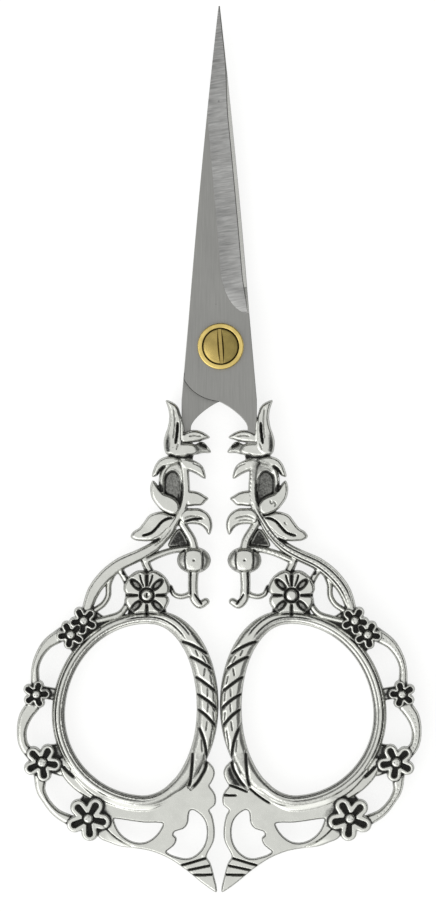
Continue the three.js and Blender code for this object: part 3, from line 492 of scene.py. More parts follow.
WEB = [
    (1.80, -58.44), (1.24, -58.87), (0.86, -59.33), (0.65, -60.00), (0.76, -60.70), (1.10, -61.41),
    (1.38, -61.90), (0.89, -62.60), (0.56, -63.24), (0.48, -63.94), (0.59, -64.58), (1.03, -65.00),
    (1.38, -65.35), (1.04, -66.06), (0.79, -67.05), (0.65, -68.31), (0.73, -69.44), (1.10, -70.43),
    (1.59, -71.28), (1.78, -71.98), (1.35, -72.69), (1.07, -73.39), (0.82, -74.38), (0.62, -75.22),
    (0.42, -76.07), (0.39, -76.89), (1.10, -76.53), (1.95, -75.93), (2.93, -75.17), (3.78, -74.46),
    (4.48, -73.88), (5.19, -73.36), (6.18, -72.66), (7.16, -72.08), (8.29, -71.56), (9.56, -71.11),
    (10.97, -70.81), (12.52, -70.61), (13.93, -70.43), (15.34, -69.94), (17.03, -69.02), (17.74, -63.94),
    (14.21, -63.66), (10.69, -64.37), (7.16, -63.52), (4.62, -61.12), (2.93, -59.01)]
SCALLOPED_HOLE = [
    (3.78, -65.31), (3.07, -65.64), (2.41, -66.24), (1.97, -66.97), (1.75, -67.89), (1.73, -68.88),
    (1.90, -69.79), (2.27, -70.61), (2.79, -71.28), (3.43, -71.80), (4.13, -72.12), (4.98, -72.18),
    (5.89, -71.98), (6.74, -71.70), (7.44, -71.20), (6.95, -70.78), (6.39, -70.29), (6.09, -69.77),
    (6.06, -69.25), (6.46, -68.82), (6.25, -68.37), (5.68, -68.17), (5.05, -67.95), (4.60, -67.50),
    (4.37, -66.90), (4.31, -66.13), (4.13, -65.49)]
HALF_MOON_HOLE = [
    (7.94, -67.26), (8.71, -67.10), (10.26, -67.10), (11.67, -66.95), (13.08, -66.74), (14.21, -66.58),
    (14.85, -66.58), (14.68, -67.33), (14.33, -68.10), (13.79, -68.81), (13.08, -69.39), (12.24, -69.81),
    (11.25, -69.99), (10.34, -69.87), (9.49, -69.44), (8.78, -68.81), (8.22, -68.03)]

ROPE_LINES = [
    [(1.59, -43.43), (2.37, -42.84), (3.36, -42.27), (4.34, -41.83), (5.47, -41.52)],
    [(0.96, -45.54), (1.80, -44.91), (2.79, -44.30), (3.64, -43.87), (4.34, -43.64)],
    [(0.39, -48.64), (1.24, -47.98), (2.09, -47.33), (2.79, -46.84), (3.50, -46.46)],
    [(0.25, -51.11), (1.10, -50.29), (1.95, -49.63), (2.65, -49.19), (3.21, -48.86)],
    [(0.47, -53.51), (1.24, -52.59), (1.95, -51.85), (2.65, -51.32), (3.07, -51.04)],
    [(3.07, -53.16), (2.48, -54.50), (2.03, -55.91), (1.82, -57.18), (1.78, -58.30), (1.95, -59.43),
     (2.44, -60.42), (3.07, -61.41), (3.99, -62.39)],
    [(3.71, -56.96), (3.78, -58.30), (3.85, -59.43), (4.00, -60.84), (4.31, -62.11)],
]
ROPE_HAIRLINES = [
    [(1.95, -45.19), (2.16, -46.46)], [(1.24, -46.32), (0.96, -47.59)], [(0.76, -48.72), (0.73, -49.98)],
    [(1.59, -48.01), (1.66, -49.42)], [(0.82, -51.39), (0.68, -52.80)], [(1.52, -50.13), (1.66, -51.54)],
    [(0.96, -53.93), (1.31, -56.47)], [(1.66, -52.66), (1.88, -54.21)], [(2.51, -55.20), (2.37, -57.18)],
    [(2.23, -58.44), (3.07, -60.28)], [(2.37, -43.50), (1.80, -44.63)], [(3.36, -42.65), (2.93, -43.64)],
]
CHASED_LINES = [  # line, width and depth
    ([(5.85, -10.79), (5.92, -12.06), (6.12, -13.54)], 0.42, 1.3),
    ([(7.73, -16.92), (8.22, -17.34), (8.71, -18.12)], 0.55, 1.2),
    ([(6.53, -24.15), (7.30, -24.27), (8.08, -24.72), (8.78, -25.52), (9.42, -26.16), (9.98, -26.44),
      (10.69, -26.62)], 0.4, 1.2),
    ([(8.36, -27.10), (9.00, -27.47), (9.84, -27.71)], 0.5, 1.0),
    ([(2.37, -22.53), (3.21, -22.55), (4.41, -22.60)], 0.45, 1.1),
    ([(4.20, -15.58), (5.05, -15.67), (6.03, -15.50)], 0.3, 0.5),
    ([(3.71, -15.65), (4.34, -15.37)], 0.7, 1.2), ([(6.25, -15.47), (6.88, -15.24)], 0.3, 0.7),
    ([(1.66, -14.24), (2.23, -13.96), (2.86, -13.61)], 0.8, 0.7),
    ([(1.73, -72.05), (2.93, -72.40), (4.34, -72.83), (5.54, -73.14)], 0.38, 0.9),
    ([(1.14, -73.11), (2.37, -73.35), (3.64, -73.62), (4.70, -73.84)], 0.38, 0.9),
    ([(0.82, -74.38), (2.23, -74.45), (3.92, -74.45)], 0.38, 0.9),
    ([(3.43, -34.90), (3.00, -35.60), (2.44, -36.31)], 0.3, 0.9),
    ([(4.00, -31.65), (4.09, -33.21), (4.03, -35.18)], 0.42, 0.5),
    ([(5.26, -21.64), (5.30, -19.67), (5.65, -18.33), (6.32, -17.62), (7.16, -17.84),
      (7.66, -18.82)], 0.36, 0.3),
    ([(5.54, -24.46), (6.11, -25.80), (6.95, -27.21), (8.01, -28.27)], 0.3, 0.6),
    ([(16.47, -67.19), (15.34, -68.53), (13.79, -69.72), (11.96, -70.57)], 0.28, 0.25),
    ([(9.35, -32.08), (9.56, -32.92), (9.91, -33.77)], 0.3, 0.5),
    ([(11.18, -32.08), (10.97, -32.92), (10.66, -33.77)], 0.3, 0.5),
    ([(22.04, -59.15), (21.33, -59.92), (20.42, -60.70)], 0.65, 0.5),
    ([(22.67, -39.90), (24.22, -40.96), (25.28, -42.37)], 0.34, 0.3),
    ([(10.05, -31.80), (10.55, -30.95), (10.90, -30.10)], 0.22, 0.3),
]
FRONT_LINES = [  # line, width and depth
    ([(1.31, -61.76), (2.09, -62.01), (2.93, -62.32), (3.92, -62.74)], 0.38, 0.9),
    ([(0.58, -63.17), (1.38, -63.24), (2.37, -63.24)], 0.38, 0.9),
    ([(4.20, -62.18), (5.19, -63.03), (6.03, -63.66), (7.16, -64.37)], 0.38, 0.6),
]
BACK_LINES = [  # line, width and depth
    ([(2.44, -24.25), (3.64, -24.32), (4.77, -24.67)], 0.42, 0.8),
    ([(10.12, -35.04), (10.26, -35.04)], 1.0, 0.8),
]
FRONT_HAIRLINES = [
    [(7.16, -21.57), (7.37, -22.14), (7.73, -21.90), (7.95, -22.25), (7.73, -22.63)],
    [(9.14, -24.75), (9.49, -25.17)],
]
HAIRLINES = [
    [(6.42, -8.53), (6.25, -10.65), (6.46, -13.18)], [(5.47, -9.80), (5.36, -11.49), (5.40, -13.32)],
    [(5.75, -13.61), (6.03, -14.59)], [(2.09, -24.32), (2.93, -24.01), (4.06, -23.90), (4.98, -24.25)],
    [(2.65, -24.60), (3.64, -24.41), (4.91, -24.60)], [(1.59, -26.01), (1.95, -25.52), (2.79, -24.93)],
    [(2.51, -18.33), (3.36, -17.77), (4.20, -17.48)], [(2.23, -17.41), (2.79, -16.85), (3.78, -16.43)],
    [(2.37, -12.69), (3.50, -12.55), (4.34, -12.69)], [(6.60, -25.59), (7.73, -27.00), (9.28, -28.20)],
    [(7.16, -25.45), (8.29, -26.58), (9.42, -27.14)],
]
BLACKENED = [  # outline, amount and softness of its edge
    (POCKET, 0.6, 0.4), (BELL_RECESS, 0.8, 0.4), (KNOT_LEAF, 0.5, 0.5),
    ([(7.59, -20.23), (8.57, -18.96), (9.00, -19.39), (8.29, -20.66)], 0.95, 0.15),
    ([(2.02, -57.60), (3.50, -56.89), (3.78, -59.71), (4.06, -61.97), (2.93, -60.70),
      (2.23, -59.43)], 0.3, 0.3),
    ([(12.94, -31.51), (13.51, -31.30), (13.79, -32.08), (13.23, -32.29)], 0.95, 0.1),
    ([(16.61, -35.60), (17.46, -35.88), (18.16, -36.87), (17.17, -36.73)], 0.95, 0.15),
    ([(3.36, -15.37), (4.34, -15.09), (4.77, -15.58), (3.92, -16.00)], 0.9, 0.2),
    ([(1.24, -29.12), (2.37, -28.55), (2.37, -31.51), (1.52, -31.09)], 0.3, 0.4),
    ([(4.77, -28.83), (5.89, -29.54), (5.75, -30.95), (4.91, -31.65)], 0.42, 0.5),
    ([(11.53, -25.87), (12.38, -26.30), (12.38, -27.00), (11.82, -26.86)], 0.45, 0.4),
    # painted shade on the right-hand fold of the tall leaf
    ([(6.95, -11.91), (7.52, -12.76), (7.73, -14.03), (7.44, -15.02), (6.81, -14.88),
      (6.88, -13.47)], 0.75, 0.3),
]
FRONT_BLACKENED = [  # outline, amount and softness of its edge
    (POCKET, 0.66, 0.4), (POCKET_ROOF, 0.4, 0.3),
    ([(6.18, -17.98), (7.16, -18.40), (7.30, -19.81), (6.18, -20.66), (5.61, -19.53)], 0.85, 0.7),
    # painted shadow on the stem under the calyx
    ([(4.77, -16.00), (6.03, -15.86), (6.74, -16.43), (6.32, -17.27), (5.47, -17.27), (4.77, -17.98),
      (4.62, -16.85)], 0.38, 0.4),
    ([(0.82, -59.43), (1.66, -58.73), (2.37, -60.28), (3.50, -62.11), (2.37, -62.25),
      (1.24, -61.55)], 0.95, 0.7),
    ([(9.00, -24.60), (9.42, -24.60), (9.56, -25.17), (9.14, -25.17)], 0.5, 0.2),
]
PAINTED_HIGHLIGHTS = [  # line and width of painted highlights
    ([(8.43, -64.79), (9.56, -65.04), (10.69, -65.06), (11.82, -64.92), (12.94, -64.72), (14.07, -64.42),
      (15.20, -64.08), (16.33, -63.59)], 0.85),
    ([(11.25, -70.71), (12.52, -70.47), (13.79, -70.08), (15.06, -69.51), (16.19, -68.81)], 0.6),
    ([(5.82, -8.95), (5.44, -10.08), (5.25, -11.35), (5.22, -12.62), (5.36, -13.68)], 0.5),
]
CLOSING_GAP = 0.3  # between the two ropes when the scissors are shut
HOLE_TILT = math.radians(3.5)
CASTING_BOX = ((-0.1, -77.2, -2.42), (28.9, -7.0, 2.42))


def ring_place(settings, degrees, out):
    """Places near the finger ring: degrees round it, and millimetres out from the edge of the hole."""
    c, s = np.cos(np.radians(degrees)), np.sin(np.radians(degrees))
    wide = np.where(c > 0, settings.hole_outer, settings.hole_inner) / MM
    high = np.where(s > 0, settings.hole_top, settings.hole_bottom) / MM
    slant = np.hypot(high * c, wide * s)
    x, y = wide * c + out * high * c / slant, high * s + out * wide * s / slant
    middle = CLOSING_GAP / 2 + (settings.rope_width + settings.hole_inner) / MM
    return np.stack([middle + x * math.cos(HOLE_TILT) - y * math.sin(HOLE_TILT),
                     x * math.sin(HOLE_TILT) + y * math.cos(HOLE_TILT) - settings.ring_drop / MM], axis=-1)


def add_ring(casting, settings):
    """The plain band with its chased edge lines, and the two strands laid together on the inner side."""
    plain = settings.ring_width / MM
    angles = np.arange(-128, 131, 6)
    width = plain * (1 + 0.1 * np.cos(np.radians(angles)))
    casting.bar(ring_place(settings, angles, width / 2), width, [1.5], 0.62)
    casting.groove(ring_place(settings, np.arange(-118, 125, 6), 0.66), 0.3, 0.2, 0.6)
    casting.groove(ring_place(settings, np.arange(-126, 67, 6), 0.14), 0.36, 0.0, 0.7)
    casting.groove(ring_place(settings, np.arange(-40, 62, 6), 1.28), 0.3, 0.35, 0.5)
    step = ring_place(settings, np.arange(-112, -38, 6), plain + 0.12)
    casting.bar(step, [0.2, 0.9, 1.0, 0.95, 0.8, 0.3], [1.28], 0.22)
    share = np.linspace(0, 1, 30)
    swell = np.sin(np.pi * share) ** 0.8
    width = plain + (settings.rope_width / MM - plain) * swell
    strands = ring_place(settings, 90 + 148 * share, width / 2)
    casting.bar(strands, width, 1.5 + 0.3 * swell, 0.6 + 0.2 * swell)
    # painted shade along the inner side of the rope, where its strands round away
    casting.groove(ring_place(settings, np.arange(96, 236, 6), 0.45), 0.95, 0.05, 0.38)
    for first, last, out in ((72, 129, 0.95), (96, 129, 1.75)):
        casting.groove(ring_place(settings, np.arange(first, last, 6), out), 0.36, 0.2, 0.85)
    for line in ROPE_LINES:
        casting.groove(line, 1.5, 0.1)
        casting.groove(line, 0.56, settings.groove_depth / MM, 0.95)
    for line in ROPE_HAIRLINES:
        casting.groove(line, 0.34, 0.2, 0.7)


def dots(casting, line, width):
    """Dots punched in the front face along a line of close points."""
    for spot in line[::5]:
        casting.groove([spot - PUNCH, spot + PUNCH], width, 0.3, 1.0, FRONT_FACE)


def add_stem(casting):
    """The stem. In front, a line is chased along each side, with a row of punched dots between them."""
    casting.bar(STEM, STEM_WIDTHS, [1.45], [0.22, 0.22, 0.22, 0.3] + [0.42] * 8)
    line, order = smooth_line(STEM)
    along = np.gradient(line, axis=0)
    across = np.stack([-along[:, 1], along[:, 0]], axis=1) / np.hypot(*along.T)[:, None]
    width = np.interp(order, np.arange(len(STEM_WIDTHS)), STEM_WIDTHS)[:, None]
    for side in (-0.2, 0.22):
        casting.groove((line + side * width * across)[52:-12:6], 0.34, 0.22, 0.8, FRONT_FACE)
    dots(casting, (line - 0.3 * width * across)[14:56], 0.34)
    dots(casting, line[90:-20], 0.38)
    for stalk in (PETIOLE, BRANCH):
        dots(casting, smooth_line(stalk)[0][10:-8], 0.3)


def add_flower(casting, centre, radius, turn, height):
    """Five spoon-shaped petals round a bead."""
    area = casting.area([centre], 1.1 * radius)
    x, y = casting.x[area] - centre[0], casting.y[area] - centre[1]
    r = np.hypot(x, y)
    off = np.arctan2(y, x) - math.radians(turn)
    off = (off + math.pi / 5) % (2 * math.pi / 5) - math.pi / 5
    ahead, aside = r * np.cos(off), r * np.sin(off)
    gap = np.hypot(aside, ahead - np.clip(ahead, 0.25 * radius, 0.66 * radius))
    casting.add(area, 0.37 * radius - gap, height, 0.14)
    spoon = 1.1 * soft_step(0, 0.4, 1 - gap / (0.29 + 0.11 * ahead))
    button = min(0.31 * radius, 0.7)
    moat = 0.9 * soft_step(0, 0.5, 1 - np.abs(r - button - 0.08) / 0.12)
    bead = 0.05 + 0.3 * (r / button) ** 4
    casting.sink(area, np.where(r < button, bead, np.maximum(spoon, moat)))
    for k in range(3):
        pip = centre + 0.42 * button * np.array([math.cos(turn + 2.1 * k), math.sin(turn + 2.1 * k)])
        casting.groove([pip - PUNCH, pip + PUNCH], 0.42, 0.3, 1.0)


def add_big_flower(casting, settings, centre, radius, height):
    """Four broad petals with an almond hollow in each, round a bead. The lower two stop at the ring."""
    area = casting.area([centre], 1.1 * radius)
    x, y = casting.x[area] - centre[0], casting.y[area] - centre[1]
    r = np.hypot(x, y)
    angle = np.arctan2(y, x)
    lobe = np.abs(np.sin(2 * angle))
    outline = radius * (1 + 0.09 * np.sin(angle) - 0.2 * (1 - lobe) ** 3)
    ring = ring_place(settings, np.arange(0, 360, 3), settings.ring_width / MM)
    reach = np.minimum(outline - r, 0.15 - reach_inside(casting.x[area], casting.y[area], ring))
    casting.add(area, reach, height, 0.4)
    off = angle % (math.pi / 2) - math.pi / 4
    ahead, aside = r * np.cos(off), r * np.sin(off)
    almond = np.hypot((ahead - 0.62 * radius) / (0.38 * radius), aside / (0.17 * radius))
    hollow = 0.85 * soft_step(0, 0.35, 1 - almond) - 0.4 * soft_step(0, 0.5, 1 - almond / 0.66)
    shadow = np.maximum(0.55 * soft_step(0, 0.2, 1 - almond), 0.42 * (1 - lobe) ** 2 * (r < outline))
    casting.darken(area, shadow)
    between = (angle + math.pi / 4) % (math.pi / 2) - math.pi / 4
    crease = 0.8 * soft_step(0, 0.8, 1 - np.abs(r * np.sin(between)) / (0.05 * radius + 0.06 * r))
    crease *= soft_step(0.34, 0.4, r / radius) * soft_step(0.1, 0.2, 1 - r / radius)
    moat = 0.9 * soft_step(0, 0.5, 1 - np.abs(r / radius - 0.28) / 0.06)
    bead = 0.05 + 0.3 * (r / (0.24 * radius)) ** 4
    cut = np.maximum(np.maximum(hollow, crease), moat)
    casting.sink(area, np.where(r < 0.24 * radius, bead, cut))


def add_bell(casting):
    """The drooping bell flower: a front petal between two lower side petals."""
    area = casting.area([BELL], 2.6)
    x, y = casting.x[area] - BELL[0], casting.y[area] - BELL[1]
    out = np.hypot(x / 2.33, y / 1.85)
    casting.add(area, 1.85 * (1 - out), 1.9 - 0.35 * out ** 2, 0.5)
    casting.sink(area, 0.5 * soft_step(1.05, 1.3, np.abs(x)) * (out < 1))
    for side in (-1, 1):
        for line, width, depth, black in (
                ([(1.15, 1.4), (1.3, 0), (1.1, -1.45)], 0.4, 0.4, 0.85),
                ([(1.95, 0.8), (1.85, 0), (1.65, -0.9)], 0.3, 0.5, 0.3)):
            casting.groove([BELL + [side * right, up] for right, up in line], width, depth, black)
    casting.groove([BELL + [0, 0.1], BELL - [0, 0.1]], 0.55, 0.25, 0.75)


def add_web(casting):
    """The pierced web below the ring, with its tail."""
    outline = smooth_line(WEB, closed=True)[0]
    area = casting.area(outline, 0.5)
    x, y = casting.x[area], casting.y[area]
    outside, pierced = reach_inside(x, y, outline), np.inf
    for hole in (SCALLOPED_HOLE, HALF_MOON_HOLE):
        pierced = np.minimum(pierced, -reach_inside(x, y, smooth_line(hole, closed=True)[0]))
    reach = np.minimum(outside, pierced)
    casting.add(area, reach, 1.1, 0.16)
    # painted shade along the web's edges, darker round its holes
    edge = soft_step(-0.3, -0.1, reach) * (1 - soft_step(0.08, 0.26, reach))
    casting.darken(area, edge * np.where(pierced < outside, 0.75, 0.3))


def cast_handle(settings):
    """Mesh of the right handle about the mirror plane, the pivot and the mid plane, with its patina,
    painted shade and painted highlights.
    """
    casting = Casting(*CASTING_BOX, settings.mesh_step / MM)
    rim = settings.half_thickness / MM
    for floor, height in ((POCKET, 0.5), (BELL_RECESS, 0.5), (POCKET_ROOF, 1.0), (NECK, 1.1)):
        casting.leaf(floor, height, height, 0.2)
    add_web(casting)
    casting.bar(FLANGE, [1.1, 1.45, 1.5, 1.4, 1.2], [1.0], 0.25)
    for line, width in LINKS:
        casting.bar(line, [width], [0.75], 0.3)
    add_ring(casting, settings)
    for line, widths in BORDERS:
        casting.bar(line, widths, [1.35], 0.4)
        dots(casting, smooth_line(line)[0][10:-12], 0.36)
    add_stem(casting)
    for line, widths, height in (
            (POCKET_BAR, [0.8], 1.3), (ARCH, [0.5], 1.2), (PETIOLE, [1.0, 1.1, 1.2], 1.3),
            (BRANCH, [0.85], 1.2), (PISTIL, [1.45, 1.35, 1.3, 1.2, 1.1, 0.95], 1.25),
            (CURL, [0.75, 0.7, 0.6], 0.9), (OUTER_SCROLL, [0.9, 0.85, 0.85], 1.25),
            (INNER_SCROLL, [0.75], 1.15), (STRUT, [1.15], 1.1)):
        casting.bar(line, widths, [height], 0.35)
    for outline, foot, tip in (
            (KNOT_LEAF, 1.3, 1.0), (TANG_LEAF, 1.75, 1.5), (KNOT, 1.85, 1.75), (TALL_LEAF, 1.95, 1.6),
            (INNER_CALYX, 1.65, 1.2), (OUTER_CALYX, 1.65, 1.2), (SHORT_LEAF, 1.5, 1.2),
            (HANGING_LEAF, 1.7, 1.2), (PLUMP_LEAF, 1.8, 1.5), (LONG_LEAF, 1.7, 1.2)):
        casting.leaf(outline, foot, tip)
    add_bell(casting)
    add_big_flower(casting, settings, BIG_FLOWER, 3.4, rim)
    for lines, hairlines, blackened, faces in (
            (CHASED_LINES, HAIRLINES, BLACKENED, BOTH_FACES), (BACK_LINES, [], [], BACK_FACE),
            (FRONT_LINES, FRONT_HAIRLINES, FRONT_BLACKENED, FRONT_FACE)):
        for line, width, depth in lines:
            casting.groove(line, width, depth, 0.0, faces)
        for line in hairlines:
            casting.groove(line, *HAIRLINE, faces)
        for outline, amount, softness in blackened:
            casting.blacken(outline, amount, softness, faces)
    for centre, radius, turn in FLOWERS:
        add_flower(casting, centre, radius, turn, rim)
    # painted highlights along edges, and on the ring's inner side at the top
    for line, width in PAINTED_HIGHLIGHTS:
        casting.paint_highlight(line, width)
    casting.paint_highlight(ring_place(settings, np.arange(56, 97, 6), 0.32), 0.6)
    field, blacks = casting.finished()
    join_corners(field)
    points, faces = surface_of(field, casting.axes)
    mesh = bpy.data.meshes.new("filigree_casting")
    mesh.from_pydata((points * MM).tolist(), [], faces.tolist())
    normals = np.empty(3 * len(points), np.float32)
    mesh.vertices.foreach_get("normal", normals)
    facing = np.abs(normals[2::3])
    # steep walls are darkened: partly black the buffing left there, partly painted shade for the shadowed
    # table they reflect
    walls_oxide_and_shade = 0.41 * soft_step(0.3, 0.7, 1 - facing) - 0.04 * soft_step(0.75, 0.95, 1 - facing)
    front, back = (at_grid(black, casting, points) for black in blacks)
    black_and_light = np.where(points[:, 2] > 0, front, back) * soft_step(0.1, 0.5, facing)
    level = np.maximum(black_and_light, walls_oxide_and_shade) + np.minimum(black_and_light, 0)
    patina_and_light = mesh.attributes.new("patina_and_light", "FLOAT", "POINT")
    patina_and_light.data.foreach_set("value", level.astype(np.float32))
    return mesh


# Blades, about the mirror plane, the pivot and the mid plane

EDGE_HEEL = 4.65  # pivot to the heel of the edge
EDGE_LAND = 0.1  # thickness of the cutting edge
HONE_HEIGHT = 0.16  # thickness of the blade where the honed bevel begins
POINT_HALF_WIDTH = 0.1
BELLY = 0.88  # swelling of a blade's sides between the pivot and the point
EDGE_SET_BACK = 0.08  # blank's side to the ground edge, at the pivot
BLANK_ROUNDING = 0.08  # rounding of the blank's edges
BORE_RADIUS = 1.65
RUN_OUT = 7.5  # length over which the wheel leaves the blade at the heel
RIDGE_FOOT = 0.1  # mirror plane to the ridge of the bevel, where the wheel starts to leave
RIDGE_LEAN = 0.086  # how far the ridge leans over for each unit of height
HEEL_DROP, CROTCH_DROP, SHOULDER_DROP, SHANK_DROP = 4.6, 7.8, 7.5, 11.5
TANG_INNER, TANG_OUTER, TANG_END = 4.0, 5.3, 15.3
BRUSHED, GROUND, HONED, STEP_SHADE, HEEL_SHADOW = range(5)  # finishes of a blade's faces; the last two are painted shade, at the step where the hone begins and along the heel


def drawn_curve(*controls):
    """Points along a curve drawn towards its control points, without its first."""
    t = np.linspace(0, 1, 25)[1:, None]
    rows = [np.asarray(c, float) * np.ones_like(t) for c in controls]
    while len(rows) > 1:
        rows = [a + (b - a) * t for a, b in zip(rows, rows[1:])]
    return rows[0]


def blade_side(settings, y):
    """Half the width of a blade at some heights."""
    share = np.asarray(y) / (settings.length / MM)
    half = settings.half_width / MM
    return half + (POINT_HALF_WIDTH - half) * share + BELLY * np.maximum(share, 0) * (1 - share)


def edge_side(settings, y):
    """Mirror plane to the ground edge at some heights."""
    return blade_side(settings, y) - EDGE_SET_BACK * (1 - np.asarray(y) / (settings.length / MM))


def blade_outline(settings):
    """Outline of a blade and its tang, from the heel of the edge to the point and back to the shoulder."""
    length = settings.length / MM
    up = np.linspace(EDGE_HEEL, length, 60)
    down = np.linspace(length, -HEEL_DROP, 60)
    foot = EDGE_HEEL - EDGE_SET_BACK
    heel, shoulder = blade_side(settings, -HEEL_DROP), blade_side(settings, -SHOULDER_DROP)
    arch = SHANK_DROP - CROTCH_DROP
    turn = 0.33 * arch - SHANK_DROP
    return np.vstack([
        [(blade_side(settings, foot), foot)],
        np.stack([edge_side(settings, up), up], axis=1),
        np.stack([-blade_side(settings, down), down], axis=1),
        drawn_curve((-heel, -HEEL_DROP), (-0.72 * heel, 0.12 * arch - CROTCH_DROP), (0, -CROTCH_DROP)),
        drawn_curve((0, -CROTCH_DROP), (0.3 * TANG_INNER, -0.12 * arch - CROTCH_DROP), (TANG_INNER, turn),
                    (TANG_INNER, -SHANK_DROP)),
        [(TANG_INNER, -TANG_END), (TANG_OUTER, -TANG_END), (TANG_OUTER, -SHANK_DROP)],
        drawn_curve((TANG_OUTER, -SHANK_DROP), (shoulder, turn), (shoulder, -SHOULDER_DROP)),
    ])


def solid_mesh(name, rings, loop=False):
    """A closed skin over rings of points in millimetres. Each ring's faces start a new row."""
    count = len(rings[0])
    points = np.vstack(rings) * MM
    faces = []
    for i in range(len(rings) - (0 if loop else 1)):
        j = (i + 1) % len(rings)
        faces += [(i * count + k, i * count + (k + 1) % count, j * count + (k + 1) % count, j * count + k)
                  for k in range(count)]
    if not loop:
        faces += [tuple(reversed(range(count))), tuple(range(len(points) - count, len(points)))]
    mesh = bpy.data.meshes.new(name)
    mesh.from_pydata(points.tolist(), [], faces)
    return mesh


def grinding_wheel(settings):
    """What the wheel and the hone take from the outer face of a blade. Faces are numbered by finish. The
    wheel lifts out over the last few millimetres, and the hone stops short of the point."""
    top, clear = settings.thickness / MM, 1.4
    length = settings.length / MM
    heel = float(edge_side(settings, EDGE_HEEL))
    line_foot = EDGE_HEEL + RUN_OUT
    turns = np.linspace(0, np.pi / 2, 40)
    runs = np.linspace(0, length + clear - line_foot, 40)[1:]
    ridge = np.append(heel + (RIDGE_FOOT - heel) * np.sin(turns), RIDGE_FOOT - RIDGE_LEAN * runs)
    height = np.append(line_foot - RUN_OUT * np.cos(turns), line_foot + runs)
    share = np.linspace(1, 0, 25)
    rings = []
    for x, y in zip(ridge, height):
        edge = max(float(edge_side(settings, y)), POINT_HALF_WIDTH)
        honed = 0.04 + 0.96 * soft_step(0, 9, 41 - y) * (0.3 + 0.7 * soft_step(0, 6, y - EDGE_HEEL))
        inner = edge - min(settings.hone_width / MM * honed, 0.33 * (edge - x))
        bite = min((y - EDGE_HEEL + 0.2) / 4.0, 1.0)
        z = (HONE_HEIGHT - top) * share - settings.hollow / MM * 4 * share * (1 - share)
        low = top + (EDGE_LAND - top) * bite
        section = [(edge + clear, low), (edge, low), *zip(x + (inner - x) * share, top + z * bite),
                   (x, top + clear), (edge + clear, top + clear)]
        rings.append([(px, y, pz) for px, pz in section])
    mesh = solid_mesh("grinding_wheel", rings)
    count = len(rings[0])
    finish = np.zeros(len(mesh.polygons), np.int32)
    for row in range(len(rings) - 1):
        first = row * count + 1
        finish[first:first + len(share)] = GROUND
        finish[first] = HONED
        # the strip beside the honed bevel is painted dark: painted shade at the step where the hone begins
        finish[first + 1] = STEP_SHADE
    mesh.polygons.foreach_set("material_index", finish)
    return mesh


def new_object(name, data, materials):
    """A new object in the scene, with its materials."""
    obj = bpy.data.objects.new(name, data)
    bpy.context.scene.collection.objects.link(obj)
    for material in materials:
        obj.data.materials.append(material)
    return obj


def shaped_mesh(obj):
    """The object's mesh with its modifiers applied. The object is removed."""
    bpy.context.view_layer.update()
    mesh = bpy.data.meshes.new_from_object(obj.evaluated_get(bpy.context.evaluated_depsgraph_get()))
    bpy.data.objects.remove(obj)
    return mesh


def ground_blade(settings, pivot_x, materials):
    """Mesh of a blade with its edge on the right, for the front half."""
    curve = bpy.data.curves.new("blade_blank", "CURVE")
    curve.dimensions = "2D"
    curve.fill_mode = "BOTH"
    soft = BLANK_ROUNDING * MM
    curve.extrude = settings.thickness / 2 - soft
    curve.bevel_depth = soft
    curve.bevel_resolution = 1
    curve.offset = -soft
    turns = np.linspace(0, 2 * np.pi, 65)[:-1, None]
    bore = np.hstack([pivot_x + BORE_RADIUS * np.cos(turns), BORE_RADIUS * np.sin(turns)])
    for outline in (blade_outline(settings), bore):
        spline = curve.splines.new("POLY")
        spline.points.add(len(outline) - 1)
        flat = np.hstack([outline * MM, np.zeros((len(outline), 1)), np.ones((len(outline), 1))])
        spline.points.foreach_set("co", flat.ravel())
        spline.use_cyclic_u = True
    blank = shaped_mesh(new_object("blade_blank", curve, []))
    blank.transform(Matrix.Translation((0, 0, settings.thickness / 2)))
    blade = new_object("blade_ground", blank, materials)
    for face in blank.polygons:
        # the heel's slanted faces take the dark heel colour: a painted shadow line along the heel
        heel = face.center.y < -4 * MM and face.center.x < 0
        slanted = 0.2 < abs(face.normal.z) < 0.97
        face.material_index = HEEL_SHADOW if heel and slanted else BRUSHED
    wheel = new_object("grinding_wheel", grinding_wheel(settings), materials)
    cut = blade.modifiers.new("grind", "BOOLEAN")
    cut.object = wheel
    cut.solver = "EXACT"
    mesh = shaped_mesh(blade)
    bpy.data.objects.remove(wheel)
    mesh.transform(Matrix.Translation((0, 0, BLADE_GAP / 2 * MM)))
    mesh.shade_smooth()
    mesh.set_sharp_from_angle(angle=math.radians(12))
    return mesh


# Pivot, about its axis and the table

CORE = 0.02  # a turned piece is a ring, with a hole of this radius where it should be solid
BARREL_RADIUS, BARREL_BORE, BARREL_TOP = 1.6, 1.05, 3.52
SHANK_RADIUS, SHANK_FOOT = 1.0, 1.3
CUP_FLOOR, HEAD_FOOT = 4.0, 4.02
CROWN_FOOT, CROWN_RISE = 4.35, 0.38
SLOT_LEVEL = 4.74  # height that the slot is sawn from
HANDLED, SHADE_BAND, SHADED_HALF = range(3)  # finishes of the screw's faces: plain brass, the dark brass of painted shade in the gaps and the slot, and the head's half in painted shade


def turned(name, profile, in_shade=(), steps=96):
    """A ring turned about the pivot axis from a closed profile of radii and heights. Some bands get the
    dark brass of painted shade."""
    angles = np.linspace(0, 2 * np.pi, steps + 1)[:-1]
    rings = [[(r * math.cos(a), r * math.sin(a), z) for r, z in profile] for a in angles]
    mesh = solid_mesh(name, rings, loop=True)
    finish = np.isin(np.arange(len(mesh.polygons)) % len(profile), list(in_shade)).astype(np.int32)
    mesh.polygons.foreach_set("material_index", finish)
    return mesh


def arc(centre, radius, start, end, steps=6):
    """Places on an arc of a profile, by degrees."""
    return [(centre[0] + radius * math.cos(a), centre[1] + radius * math.sin(a))
            for a in np.radians(np.linspace(start, end, steps + 1))]


# Materials

